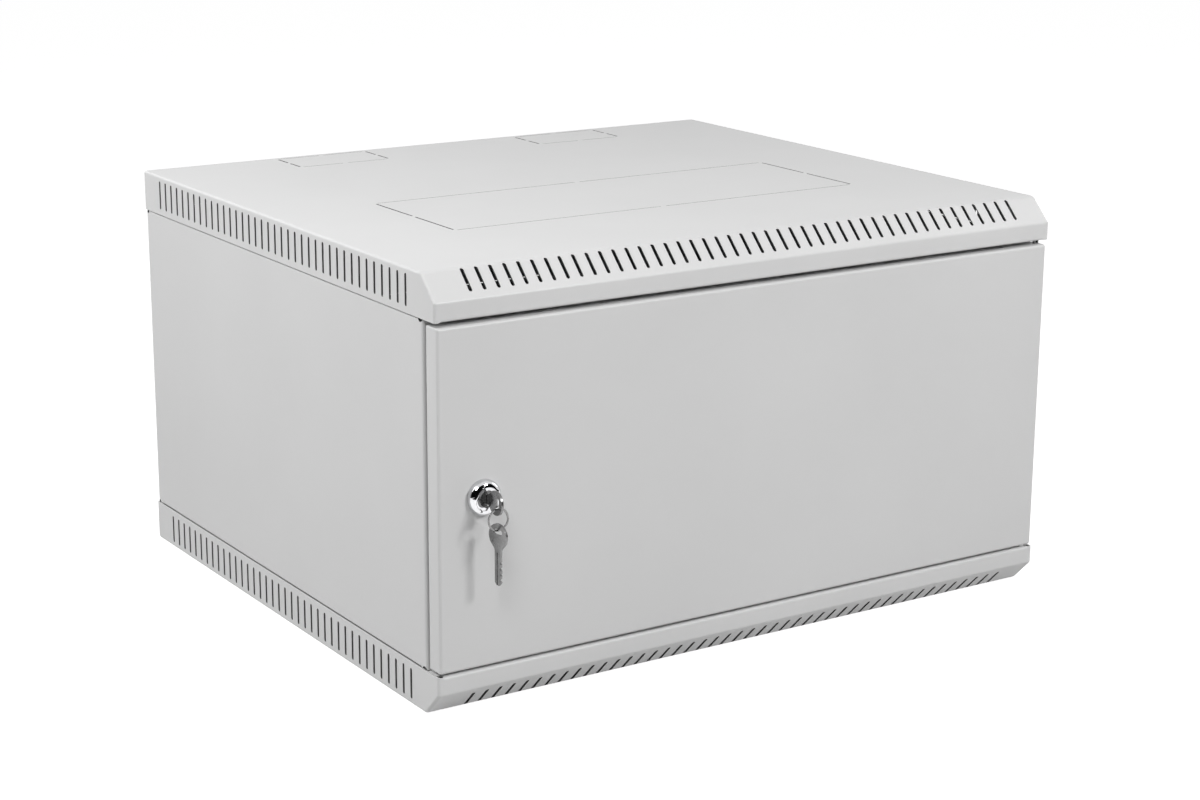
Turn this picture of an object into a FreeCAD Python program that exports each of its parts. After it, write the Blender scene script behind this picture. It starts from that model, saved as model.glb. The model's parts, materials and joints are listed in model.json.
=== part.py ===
import FreeCAD, Part
import math
import os
import Sketcher

# Wall mount network cabinet for 19-inch equipment, six units high.
# Frame: millimetres, +Z up, the door faces -Y, the wall is at +Y.
# The origin is the centre of the base cover's underside.

# Driving sizes
SIZE_TABLE = (
    ("body_width", 600.0, "cabinet width across the covers"),
    ("body_depth", 530.0, "cabinet depth from lip to wall"),
    ("body_height", 345.0, "cabinet height"),
    ("sheet_wall", 1.2, "steel sheet of covers, door, panels and posts"),
    ("bend_radius", 2.5, "outer radius of a folded edge"),
    ("cover_flange", 35.0, "depth of the folded sides of a cover"),
    ("bevel_run", 20.0, "how far the front bevel goes back"),
    ("bevel_rise", 20.0, "how far the front bevel goes down"),
    ("ledge_gap", 0.5, "gap from a cover's front ledge to the front posts"),
    ("slot_length", 21.0, "vent slot, end to end"),
    ("slot_width", 2.5, "vent slot, side to side"),
    ("side_slot_count", 38, "vent slots along each side of a cover"),
    ("side_slot_pitch", 12.2, "spacing of the side slots"),
    ("side_slot_drop", 19.3, "side slots' middle below the cover's flat"),
    ("side_slot_shift", 3.5, "side slot row's middle behind the cabinet's middle"),
    ("bevel_slot_count", 45, "vent slots along the bevel"),
    ("bevel_slot_pitch", 12.1, "spacing of the bevel slots"),
    ("slit_width", 1.2, "slit round a knock-out"),
    ("slit_bridge", 5.0, "bridge that holds a knock-out"),
    ("entry_inner", 82.0, "cable entry knock-out, inner side from the middle"),
    ("entry_outer", 172.0, "cable entry knock-out, outer side from the middle"),
    ("entry_margin", 9.0, "cable entry knock-out to the rear edge"),
    ("entry_depth", 49.0, "cable entry knock-out, front to rear"),
    ("fan_width", 400.0, "fan knock-out, side to side"),
    ("fan_depth", 134.0, "fan knock-out, front to rear"),
    ("fan_shift", 54.0, "fan knock-out's middle in front of the cabinet's middle"),
    ("stud_diameter", 6.0, "welded studs and rail bolts"),
    ("stud_length", 12.0, "welded stud, out of the sheet"),
    ("bolt_clearance", 0.2, "radial clearance of a bolt or stud in its hole"),
    ("nut_flats", 10.0, "hexagon nut and bolt head across flats"),
    ("nut_thickness", 5.0, "hexagon nut and bolt head"),
    ("nut_seat_gap", 0.1, "earth nut to the sheet under it"),
    ("panel_inset", 1.0, "side panel's face behind the covers' sides"),
    ("panel_seam", 0.8, "gap from a panel to the covers"),
    ("panel_front_gap", 2.0, "gap from the closed door to the side panels"),
    ("panel_lip", 14.0, "side panel's inner lip along a post"),
    ("relief_size", 3.0, "corner notch between a panel's folds"),
    ("foot_relief", 2.0, "corner cut of a front post over the bevel's fold"),
    ("post_inset", 11.0, "post's web from the cabinet's side"),
    ("post_width", 18.0, "post's flanges"),
    ("post_depth", 30.0, "post's web"),
    ("post_front_gap", 3.0, "gap from the closed door to the front posts"),
    ("cam_screw_head_height", 3.0, "cam screw's head"),
    ("rear_wall", 1.5, "rear panel"),
    ("rear_gap", 0.5, "gap from the rear panel to the side panels' rear folds"),
    ("rear_edge", 12.0, "rear panel's folded top and bottom edge"),
    ("wall_hole_diameter", 9.0, "holes for the wall bolts"),
    ("wall_hole_span", 450.0, "wall holes, side to side"),
    ("wall_hole_rise", 200.0, "wall holes, bottom to top"),
    ("rear_entry_width", 260.0, "rear cable knock-out, side to side"),
    ("rear_entry_height", 60.0, "rear cable knock-out, bottom to top"),
    ("beam_height", 30.0, "depth beam's web"),
    ("beam_flange", 12.0, "depth beam's flanges"),
    ("beam_level", 60.0, "lower depth beams' middle above the base"),
    ("rail_units", 6, "height of the equipment space in rack units"),
    ("rack_unit", 44.45, "one rack unit"),
    ("rail_span", 465.1, "rail hole rows, side to side"),
    ("rail_wall", 1.5, "rack rail's sheet"),
    ("rail_leg", 40.0, "rack rail's leg along the beam"),
    ("rail_inner_margin", 10.5, "rail hole row to the rail's inner edge"),
    ("rail_play", 0.3, "gap from the rail to the beam"),
    ("rail_setback", 75.0, "rail's front face behind the door's front face"),
    ("rail_travel", 220.0, "how far a rail can be moved back"),
    ("rail_bolt_setback", 20.0, "rail bolt behind the rail's front face"),
    ("square_hole", 9.5, "square hole for a cage nut"),
    ("unit_hole_offset", 15.875, "outer holes of a unit from its middle hole"),
    ("beam_slot_height", 8.4, "slot for the rail bolts"),
    ("washer_width", 14.0, "square washer of a rail nut"),
    ("washer_thickness", 1.5, "square washer of a rail nut"),
    ("door_side_gap", 2.0, "door's edge inside the cabinet's side"),
    ("door_bottom_gap", 2.0, "door above the base cover"),
    ("door_top_gap", 4.0, "door below the top cover"),
    ("door_depth", 16.0, "door's folded edge"),
    ("hinge_edge", 5.0, "hinge axis from the door's right edge"),
    ("pin_diameter", 5.0, "hinge pins"),
    ("pin_clearance", 0.1, "radial clearance of a hinge pin in its hole"),
    ("pin_chamfer", 1.25, "chamfer at a hinge pin's tip"),
    ("pin_rivet", 2.0, "hinge pin past the cover's ledge that it sits in"),
    ("pin_collar", 9.0, "lower hinge pin's collar"),
    ("running_gap", 0.3, "gap between faces that move past each other"),
    ("pin_reach", 4.0, "lower hinge pin past the door's sheet"),
    ("pin_travel", 9.0, "how far the sprung pin is pulled down"),
    ("pin_tail", 12.0, "sprung pin below its bracket"),
    ("pin_lever", 16.0, "finger lever at the sprung pin's lower end"),
    ("lever_bend", 5.0, "bend between the sprung pin and its lever"),
    ("spring_length", 24.0, "pin spring"),
    ("spring_turns", 6, "pin spring's coils"),
    ("spring_wire", 0.7, "pin spring's wire"),
    ("spring_collar", 6.6, "sprung pin's collar"),
    ("spring_collar_height", 4.5, "sprung pin's collar, bottom to top"),
    ("bracket_wall", 1.5, "sprung pin's bracket"),
    ("bracket_width", 12.0, "sprung pin's bracket"),
    ("bracket_leg", 14.0, "bracket's leg along the door"),
    ("stiffener_width", 44.0, "door stiffener's crown"),
    ("stiffener_foot", 12.0, "door stiffener's foot"),
    ("stiffener_depth", 10.0, "door stiffener off the door"),
    ("stiffener_gap", 4.0, "door stiffener to the door's folded edges"),
    ("lock_inset", 38.0, "lock axis from the door's left edge"),
    ("bezel_diameter", 28.0, "lock's bezel"),
    ("bezel_height", 7.2, "lock's bezel in front of the door"),
    ("bezel_round", 5.2, "rounding of the bezel's edge"),
    ("barrel_diameter", 19.0, "lock's barrel"),
    ("barrel_flats", 16.0, "lock's barrel across its flats"),
    ("barrel_length", 20.6, "lock's barrel behind the door's face"),
    ("barrel_clearance", 0.2, "radial clearance of the barrel in the door"),
    ("lock_nut_flats", 22.0, "lock nut across flats"),
    ("lock_nut_thickness", 4.0, "lock nut"),
    ("plug_diameter", 12.8, "lock's plug"),
    ("plug_clearance", 0.06, "radial clearance of the plug"),
    ("plug_recess", 0.2, "plug's face behind the bezel's face"),
    ("plug_square", 7.0, "square end of the plug"),
    ("cam_wall", 2.0, "lock's cam"),
    ("cam_width", 15.0, "lock's cam"),
    ("cam_length", 26.0, "cam's tip from the lock axis"),
    ("cam_corner", 3.0, "cut corner of the cam's tip"),
    ("cam_screw_head", 10.0, "cam screw's head"),
    ("cam_screw_diameter", 4.0, "cam screw"),
    ("cam_screw_reach", 2.4, "cam screw's shank in the plug"),
    ("key_wall", 1.9, "key's thickness"),
    ("key_clearance", 0.3, "gap round the key's blade in the plug"),
    ("blade_width", 6.5, "key's blade"),
    ("blade_length", 27.0, "key's blade"),
    ("blade_tip", 2.6, "pointed end of the key's blade"),
    ("neck_length", 12.0, "from the blade to the middle of the bow"),
    ("shoulder_width", 17.6, "neck where it meets the bow"),
    ("shoulder_drop", 3.5, "neck's end below the middle of the bow"),
    ("bow_diameter", 19.0, "key's bow"),
    ("bow_slot_length", 9.5, "slot in the bow, side to side"),
    ("bow_slot_width", 4.5, "slot in the bow"),
    ("bow_slot_corner", 1.3, "cut corner of the slot in the bow"),
    ("bow_slot_offset", 3.0, "slot's middle beyond the bow's middle"),
    ("notch_count", 4, "cuts in the blade's edge"),
    ("notch_depth", 1.4, "cuts in the blade's edge"),
    ("notch_pitch", 4.5, "spacing of the cuts in the blade's edge"),
    ("ring_diameter", 16.6, "key ring, to the middle of its wire"),
    ("ring_wire", 1.4, "key ring's wire"),
    ("spare_twist", 13.0, "spare key turned about the vertical, in degrees"),
    ("earth_side", 240.0, "earth stud from the middle"),
    ("earth_rear", 60.0, "earth stud from the rear"),
)

document = FreeCAD.newDocument("cabinet")
sheet = document.addObject("Spreadsheet::Sheet", "Sizes")


class Size:
    """A size that knows its number and its formula on the sheet."""

    def __init__(self, number, formula):
        self.number = float(number)
        self.formula = formula

    def __float__(self):
        return self.number

    def __add__(self, other):
        other = as_size(other)
        return Size(self.number + other.number, f"({self.formula} + {other.formula})")

    def __radd__(self, other):
        return as_size(other) + self

    def __sub__(self, other):
        other = as_size(other)
        return Size(self.number - other.number, f"({self.formula} - {other.formula})")

    def __rsub__(self, other):
        return as_size(other) - self

    def __mul__(self, other):
        other = as_size(other)
        return Size(self.number * other.number, f"({self.formula} * {other.formula})")

    def __rmul__(self, other):
        return as_size(other) * self

    def __truediv__(self, other):
        other = as_size(other)
        return Size(self.number / other.number, f"({self.formula} / {other.formula})")

    def __neg__(self):
        return Size(-self.number, f"(0 - {self.formula})")


def as_size(value):
    return value if isinstance(value, Size) else Size(value, f"({float(value)!r})")


class Dimensions:
    """The sheet's sizes by name."""


dim = Dimensions()
for row, (name, number, meaning) in enumerate(SIZE_TABLE, start=1):
    sheet.set(f"A{row}", meaning)
    sheet.set(f"B{row}", str(number))
    sheet.setAlias(f"B{row}", name)
    setattr(dim, name, Size(number, f"Sizes.{name}"))
document.recompute()

# Small round bars are drawn with this many sides, and a rounded edge on the lathe with this many steps.
ROD_SIDES = 8
ROUND_STEPS = 4

# Places that follow from the driving sizes. A folded tab starts at fold_root, inside its sheet.
front_y = -dim.body_depth / 2
rear_y = dim.body_depth / 2
side_x = dim.body_width / 2
mid_height = dim.body_height / 2
door_back_y = front_y + dim.door_depth
panel_front_y = door_back_y + dim.panel_front_gap
post_front_y = door_back_y + dim.post_front_gap
panel_bottom = dim.cover_flange + dim.panel_seam
panel_height = dim.body_height - 2 * panel_bottom
rear_inner_y = rear_y - dim.rear_wall
rear_post_y = rear_inner_y - dim.post_depth
post_web_x = side_x - dim.post_inset
post_edge_x = post_web_x - dim.post_width
stud_x = post_edge_x + dim.post_width / 2
rail_front_y = front_y + dim.rail_setback
rail_side_x = post_edge_x - dim.rail_play
rail_height = dim.rail_units * dim.rack_unit
bolt_hole = dim.stud_diameter + 2 * dim.bolt_clearance
nut_bore = dim.stud_diameter + 2 * dim.pin_clearance
door_left_x = dim.door_side_gap - side_x
door_width = dim.body_width - 2 * dim.door_side_gap
door_bottom = dim.cover_flange + dim.door_bottom_gap
door_top = dim.body_height - dim.cover_flange - dim.door_top_gap
hinge_x = side_x - dim.door_side_gap - dim.hinge_edge
hinge_y = front_y + dim.door_depth / 2
pin_hole_radius = dim.pin_diameter / 2 + dim.pin_clearance
lock_x = door_left_x + dim.lock_inset
plug_face = dim.bezel_height - dim.plug_recess
cam_level = dim.barrel_length + dim.running_gap
inner_radius = dim.bend_radius - dim.sheet_wall
fold_root = dim.sheet_wall / 2


# Helpers for sketches and features

def bind(thing, prop, size):
    """Tie a property to the sheet."""
    thing.setExpression(prop, as_size(size).formula)


def new_body(label):
    """Start a sub-part."""
    body = document.addObject("PartDesign::Body", label)
    body.Label = label
    return body


def origin_feature(body, role):
    for feature in body.Origin.OriginFeatures:
        if feature.Role == role:
            return feature
    raise RuntimeError(f"{body.Label} has no {role}")


def sketch_on(body, role, offset):
    """Sketch parallel to an origin plane, moved along the plane's normal."""
    sketch = body.newObject("Sketcher::SketchObject", f"{body.Label}_sketch")
    sketch.AttachmentSupport = [(origin_feature(body, role), "")]
    sketch.MapMode = "FlatFace"
    bind(sketch, ".AttachmentOffset.Base.z", offset)
    return sketch


def plan_sketch(body, z):
    """Sketch seen from above, x to the right and y to the rear."""
    return sketch_on(body, "XY_Plane", z)


def front_sketch(body, y):
    """Sketch seen from the front, x to the right and z up."""
    return sketch_on(body, "XZ_Plane", -as_size(y))


def side_sketch(body, x):
    """Sketch seen from the right, y to the rear and z up."""
    return sketch_on(body, "YZ_Plane", x)


def fix_point(sketch, geometry, point, x, y):
    """Hold a point of the sketch at sizes from its origin."""
    for kind, axis, size in (("DistanceX", -2, as_size(x)), ("DistanceY", -1, as_size(y))):
        if abs(size.number) < 1e-9:
            sketch.addConstraint(Sketcher.Constraint("PointOnObject", geometry, point, axis))
            continue
        constraint = Sketcher.Constraint(kind, -1, 1, geometry, point, size.number)
        index = sketch.addConstraint(constraint)
        bind(sketch, f"Constraints[{index}]", size)


def outline(sketch, points):
    """Closed outline of straight lines through the points."""
    places = [FreeCAD.Vector(float(x), float(y), 0) for x, y in points]
    first = sketch.GeometryCount
    for index, start in enumerate(places):
        end = places[(index + 1) % len(places)]
        sketch.addGeometry(Part.LineSegment(start, end), False)
    for index, (x, y) in enumerate(points):
        line = first + index
        before = first + (index - 1) % len(points)
        sketch.addConstraint(Sketcher.Constraint("Coincident", before, 2, line, 1))
        fix_point(sketch, line, 1, x, y)


def rectangle(sketch, left, bottom, right, top):
    outline(sketch, ((left, bottom), (right, bottom), (right, top), (left, top)))


def circle(sketch, x, y, radius):
    shape = Part.Circle(FreeCAD.Vector(float(x), float(y), 0), FreeCAD.Vector(0, 0, 1), float(radius))
    geometry = sketch.addGeometry(shape, False)
    fix_point(sketch, geometry, 3, x, y)
    index = sketch.addConstraint(Sketcher.Constraint("Radius", geometry, float(radius)))
    bind(sketch, f"Constraints[{index}]", radius)


def hexagon(sketch, x, y, across_flats):
    points = []
    for corner in range(6):
        turn = math.radians(60 * corner)
        reach = across_flats / math.sqrt(3)
        points.append((x + reach * math.cos(turn), y + reach * math.sin(turn)))
    outline(sketch, points)


def rod(sketch, x, y, diameter):
    """Small stud, shank or bore, drawn with flat sides that the true circle touches."""
    half_side = math.pi / ROD_SIDES
    reach = diameter / 2 / math.cos(half_side)
    points = []
    for corner in range(ROD_SIDES):
        turn = half_side * (2 * corner + 1)
        points.append((x + reach * math.cos(turn), y + reach * math.sin(turn)))
    outline(sketch, points)


def square(sketch, x, y, width):
    half = width / 2
    rectangle(sketch, x - half, y - half, x + half, y + half)


def cut_corner_slot(sketch, x, y, half_x, half_y, corner):
    """Slot with its four corners cut off."""
    outline(sketch, (
        (x - half_x + corner, y - half_y),
        (x + half_x - corner, y - half_y),
        (x + half_x, y - half_y + corner),
        (x + half_x, y + half_y - corner),
        (x + half_x - corner, y + half_y),
        (x - half_x + corner, y + half_y),
        (x - half_x, y + half_y - corner),
        (x - half_x, y - half_y + corner),
    ))


def pad(body, sketch, length):
    """Grow the sketch along its plane's normal: up, to the front or to the right."""
    feature = body.newObject("PartDesign::Pad", f"{body.Label}_pad")
    feature.Profile = sketch
    bind(feature, "Length", length)
    return feature


def pocket(body, sketch, depth):
    """Cut the sketch against its plane's normal, and make sure that it cuts."""
    document.recompute()
    before = body.Shape.Volume
    feature = body.newObject("PartDesign::Pocket", f"{body.Label}_pocket")
    feature.Profile = sketch
    bind(feature, "Length", depth)
    document.recompute()
    if not body.Shape.Volume < before - 1e-3:
        raise RuntimeError(f"a pocket cuts nothing from {body.Label}")
    return feature


def repeat(body, feature, role, spacing, count):
    """Row of a feature along an origin axis."""
    pattern = body.newObject("PartDesign::LinearPattern", f"{body.Label}_row")
    pattern.Originals = [feature]
    pattern.Direction = (origin_feature(body, role), [""])
    pattern.Mode = "Spacing"
    bind(pattern, "Offset", spacing)
    bind(pattern, "Occurrences", count)
    body.Tip = pattern
    return pattern


def round_edges(body, radius, chosen):
    """Round the edges of the tip that the function chooses by their place."""
    document.recompute()
    base = body.Tip
    names = []
    for number, edge in enumerate(base.Shape.Edges, start=1):
        if chosen(edge):
            names.append(f"Edge{number}")
    if not names:
        raise RuntimeError(f"no edge to round on {body.Label}")
    feature = body.newObject("PartDesign::Fillet", f"{body.Label}_fillet")
    feature.Base = (base, names)
    bind(feature, "Radius", radius)
    return feature


def hollow(body, open_side):
    """Leave a sheet's thickness, open on the face that the function chooses."""
    document.recompute()
    base = body.Tip
    names = []
    for number, face in enumerate(base.Shape.Faces, start=1):
        if open_side(face):
            names.append(f"Face{number}")
    feature = body.newObject("PartDesign::Thickness", f"{body.Label}_shell")
    feature.Base = (base, names)
    feature.Mode = "Skin"
    feature.Join = "Intersection"
    feature.Reversed = True
    bind(feature, "Value", dim.sheet_wall)
    return feature


def round_folds(body, half_width, is_fold):
    """Round the outside of a tray's folds; is_fold tells them from its corners and rim."""
    round_edges(body, dim.bend_radius, lambda edge: is_fold(edge) and all(
        near(abs(vertex.X), half_width) for vertex in edge.Vertexes
    ))


def turn_over(body):
    """Turn a piece half round about the Y axis at mid height, for the other side."""
    body.Placement = FreeCAD.Placement(
        FreeCAD.Vector(0, 0, float(dim.body_height)), FreeCAD.Rotation(FreeCAD.Vector(0, 1, 0), 180)
    )
    bind(body, ".Placement.Base.z", dim.body_height)


def at_lock(body):
    """Put a piece on the lock axis: its own +Z becomes the way out of the door."""
    place = FreeCAD.Vector(float(lock_x), float(front_y), float(mid_height))
    body.Placement = FreeCAD.Placement(place, FreeCAD.Rotation(FreeCAD.Vector(1, 0, 0), 90))
    bind(body, ".Placement.Base.x", lock_x)
    bind(body, ".Placement.Base.y", front_y)
    bind(body, ".Placement.Base.z", mid_height)


def runs_along(edge, axis):
    """True for a straight edge along one axis, 0, 1 or 2."""
    if len(edge.Vertexes) != 2 or edge.Curve.TypeId != "Part::GeomLine":
        return False
    direction = edge.Vertexes[1].Point - edge.Vertexes[0].Point
    return abs(abs(direction[axis]) - direction.Length) < 1e-6


def near(value, size):
    return abs(value - float(size)) < 1e-4


# Top and base covers

def cover_shell(body):
    """Pan with folded sides and a bevelled front, open below."""
    low = dim.body_height - dim.cover_flange
    profile = side_sketch(body, -side_x)
    outline(profile, (
        (rear_y, low),
        (rear_y, dim.body_height),
        (front_y + dim.bevel_run, dim.body_height),
        (front_y, dim.body_height - dim.bevel_rise),
        (front_y, low),
    ))
    pad(body, profile, dim.body_width)
    hollow(body, lambda face: near(face.BoundBox.ZMax, low))
    round_folds(body, side_x, lambda edge: (
        runs_along(edge, 0) and edge.BoundBox.ZMin > float(low) + 1e-3
        or runs_along(edge, 1) and near(edge.BoundBox.ZMax, dim.body_height)
    ))


def cover_ledge(body, pin_x):
    """Folded edge of the front lip, with the hinge pin's hole."""
    low = dim.body_height - dim.cover_flange
    ledge = plan_sketch(body, low)
    half_width = side_x - dim.sheet_wall
    rectangle(ledge, -half_width, front_y + fold_root, half_width, post_front_y - dim.ledge_gap)
    pad(body, ledge, dim.sheet_wall)
    hole = plan_sketch(body, low + dim.sheet_wall)
    circle(hole, pin_x, hinge_y, pin_hole_radius)
    pocket(body, hole, dim.sheet_wall)


def cover_side_slots(body):
    """Row of upright vent slots through both folded sides at once."""
    first_y = dim.side_slot_shift - dim.side_slot_pitch * (dim.side_slot_count - 1) / 2
    middle = dim.body_height - dim.side_slot_drop
    slot = side_sketch(body, side_x)
    half_width = dim.slot_width / 2
    half_length = dim.slot_length / 2
    rectangle(slot, first_y - half_width, middle - half_length, first_y + half_width, middle + half_length)
    cut = pocket(body, slot, dim.body_width)
    repeat(body, cut, "Y_Axis", dim.side_slot_pitch, dim.side_slot_count)


def cover_bevel_slots(body):
    """Row of vent slots that run down the bevel."""
    first_x = -dim.bevel_slot_pitch * (dim.bevel_slot_count - 1) / 2
    angle = Size(
        math.degrees(math.atan2(float(dim.bevel_rise), float(dim.bevel_run))),
        "atan2(Sizes.bevel_rise; Sizes.bevel_run)",
    )
    slot = plan_sketch(body, dim.body_height - dim.bevel_rise / 2)
    slot.AttachmentOffset = FreeCAD.Placement(
        FreeCAD.Vector(0, 0, 0), FreeCAD.Rotation(FreeCAD.Vector(1, 0, 0), angle.number)
    )
    bind(slot, ".AttachmentOffset.Base.z", dim.body_height - dim.bevel_rise / 2)
    bind(slot, ".AttachmentOffset.Base.y", front_y + dim.bevel_run / 2)
    bind(slot, ".AttachmentOffset.Rotation.Angle", angle)
    half_width = dim.slot_width / 2
    half_length = dim.slot_length / 2
    rectangle(slot, first_x - half_width, -half_length, first_x + half_width, half_length)
    cut = pocket(body, slot, 2 * dim.sheet_wall)
    repeat(body, cut, "X_Axis", dim.bevel_slot_pitch, dim.bevel_slot_count)


def slit_ring(sketch, left, front, right, rear):
    """Eight slits round a knock-out, with a bridge at each corner and mid-side."""
    half = dim.slit_width / 2
    bridge = dim.slit_bridge / 2
    middle_x = (left + right) / 2
    middle_y = (front + rear) / 2
    for x in (left, right):
        rectangle(sketch, x - half, front + bridge, x + half, middle_y - bridge)
        rectangle(sketch, x - half, middle_y + bridge, x + half, rear - bridge)
    for y in (front, rear):
        rectangle(sketch, left + bridge, y - half, middle_x - bridge, y + half)
        rectangle(sketch, middle_x + bridge, y - half, right - bridge, y + half)


def cover_knock_outs(body):
    """Slits round two rear cable entries and one fan opening."""
    slits = plan_sketch(body, dim.body_height)
    entry_rear = rear_y - dim.entry_margin
    entry_front = entry_rear - dim.entry_depth
    slit_ring(slits, dim.entry_inner, entry_front, dim.entry_outer, entry_rear)
    slit_ring(slits, -dim.entry_outer, entry_front, -dim.entry_inner, entry_rear)
    fan_front = -dim.fan_shift - dim.fan_depth / 2
    slit_ring(slits, -dim.fan_width / 2, fan_front, dim.fan_width / 2, fan_front + dim.fan_depth)
    pocket(body, slits, dim.sheet_wall)


def cover_studs(body, extra):
    """Welded studs that the posts are bolted to, one at each corner."""
    top = dim.body_height - dim.sheet_wall
    studs = plan_sketch(body, top - dim.stud_length)
    for x, y in stud_places() + extra:
        rod(studs, x, y, dim.stud_diameter)
    pad(body, studs, dim.stud_length)


def stud_places():
    """Middle of each post's end tab."""
    front = post_front_y + dim.post_depth / 2
    rear = rear_post_y + dim.post_depth / 2
    return [(stud_x, front), (-stud_x, front), (stud_x, rear), (-stud_x, rear)]


def make_cover(label, turned, extra):
    body = new_body(label)
    cover_shell(body)
    cover_ledge(body, -hinge_x if turned else hinge_x)
    cover_studs(body, extra)
    cover_knock_outs(body)
    cover_side_slots(body)
    cover_bevel_slots(body)
    if turned:
        turn_over(body)
    return body


# Frame: posts, depth beams and their nuts

def channel(body, web_x, open_x, low_y, high_y, bottom, top):
    """C-section upright: web at web_x, flanges reaching to open_x, with rounded bends."""
    toward = 1 if float(open_x) > float(web_x) else -1
    wall = dim.sheet_wall * toward
    section = plan_sketch(body, bottom)
    outline(section, (
        (web_x, low_y),
        (open_x, low_y),
        (open_x, low_y + dim.sheet_wall),
        (web_x + wall, low_y + dim.sheet_wall),
        (web_x + wall, high_y - dim.sheet_wall),
        (open_x, high_y - dim.sheet_wall),
        (open_x, high_y),
        (web_x, high_y),
    ))
    pad(body, section, top - bottom)
    round_edges(body, dim.bend_radius, lambda edge: runs_along(edge, 2) and near(edge.BoundBox.XMin, web_x))


def make_post(label, low_y, turned):
    """Left upright: C-section with an end tab top and bottom."""
    body = new_body(label)
    bottom = dim.sheet_wall
    top = dim.body_height - dim.sheet_wall
    high_y = low_y + dim.post_depth
    channel(body, -post_web_x, -post_edge_x, low_y, high_y, bottom, top)
    for level in (bottom, top - dim.sheet_wall):
        tab = plan_sketch(body, level)
        rectangle(
            tab, -post_web_x + fold_root, low_y + inner_radius + dim.sheet_wall,
            -post_edge_x, high_y - inner_radius - dim.sheet_wall,
        )
        pad(body, tab, dim.sheet_wall)
        hole = plan_sketch(body, level + dim.sheet_wall)
        square(hole, -stud_x, low_y + dim.post_depth / 2, bolt_hole)
        pocket(body, hole, dim.sheet_wall)
    feet = front_sketch(body, low_y)
    margin = dim.running_gap
    for low, high in ((bottom - margin, bottom + dim.foot_relief), (top - dim.foot_relief, top + margin)):
        rectangle(feet, -post_web_x - margin, low, -post_edge_x + margin, high)
    pocket(body, feet, dim.foot_relief)
    if turned:
        turn_over(body)
    return body


def make_frame_nuts(label, turned):
    """Nuts on the welded studs, against the posts' end tabs."""
    body = new_body(label)
    level = dim.body_height - 2 * dim.sheet_wall - dim.nut_thickness
    nuts = plan_sketch(body, level)
    for x, y in stud_places():
        hexagon(nuts, x, y, dim.nut_flats)
        rod(nuts, x, y, nut_bore)
    pad(body, nuts, dim.nut_thickness)
    if turned:
        turn_over(body)
    return body


def make_beam(label, raised, turned):
    """Lower left depth beam, slotted for the rail bolts and welded between two posts."""
    body = new_body(label)
    start_y = post_front_y + dim.post_depth
    outer_x = -post_edge_x - dim.beam_flange
    low = dim.beam_level - dim.beam_height / 2
    high = dim.beam_level + dim.beam_height / 2
    section = front_sketch(body, rear_post_y)
    outline(section, (
        (-post_edge_x, low),
        (outer_x, low),
        (outer_x, low + dim.sheet_wall),
        (-post_edge_x - dim.sheet_wall, low + dim.sheet_wall),
        (-post_edge_x - dim.sheet_wall, high - dim.sheet_wall),
        (outer_x, high - dim.sheet_wall),
        (outer_x, high),
        (-post_edge_x, high),
    ))
    pad(body, section, rear_post_y - start_y)
    round_edges(
        body, dim.bend_radius,
        lambda edge: runs_along(edge, 1) and near(edge.BoundBox.XMin, -post_edge_x),
    )
    slot = side_sketch(body, -post_edge_x)
    half = dim.beam_slot_height / 2
    bolt_y = rail_front_y + dim.rail_bolt_setback
    rectangle(
        slot, bolt_y - half, dim.beam_level - half, bolt_y + dim.rail_travel + half, dim.beam_level + half,
    )
    pocket(body, slot, dim.sheet_wall)
    round_edges(
        body, half - dim.bolt_clearance,
        lambda edge: runs_along(edge, 0) and near(abs(edge.BoundBox.ZMin - float(dim.beam_level)), half)
        and near(edge.Length, dim.sheet_wall),
    )
    shift = dim.body_height - 2 * dim.beam_level if raised else as_size(0)
    if turned:
        turn_over(body)
        shift = dim.body_height - shift
    bind(body, ".Placement.Base.z", shift)
    return body


# Side and rear panels

def make_side_panel(label, turned):
    """Left side: a lipped tray whose inner lips lie along the posts."""
    body = new_body(label)
    outer_x = dim.panel_inset - side_x
    lip_x = -post_web_x
    wall = dim.sheet_wall
    back_y = rear_y - dim.panel_inset
    section = plan_sketch(body, panel_bottom)
    outline(section, (
        (outer_x, panel_front_y),
        (lip_x, panel_front_y),
        (lip_x, panel_front_y + dim.panel_lip),
        (lip_x - wall, panel_front_y + dim.panel_lip),
        (lip_x - wall, panel_front_y + wall),
        (outer_x + wall, panel_front_y + wall),
        (outer_x + wall, back_y - wall),
        (lip_x - wall, back_y - wall),
        (lip_x - wall, back_y - dim.panel_lip),
        (lip_x, back_y - dim.panel_lip),
        (lip_x, back_y),
        (outer_x, back_y),
    ))
    pad(body, section, panel_height)
    round_edges(body, dim.bend_radius, lambda edge: runs_along(edge, 2) and near(edge.BoundBox.XMin, outer_x))
    fold_front = panel_front_y + wall + dim.relief_size
    fold_back = back_y - wall - dim.relief_size
    for level in (panel_bottom, panel_bottom + panel_height - wall):
        fold = plan_sketch(body, level)
        rectangle(fold, outer_x + wall / 2, fold_front, lip_x - wall - dim.running_gap, fold_back)
        pad(body, fold, wall)
    if turned:
        turn_over(body)
    return body


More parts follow.
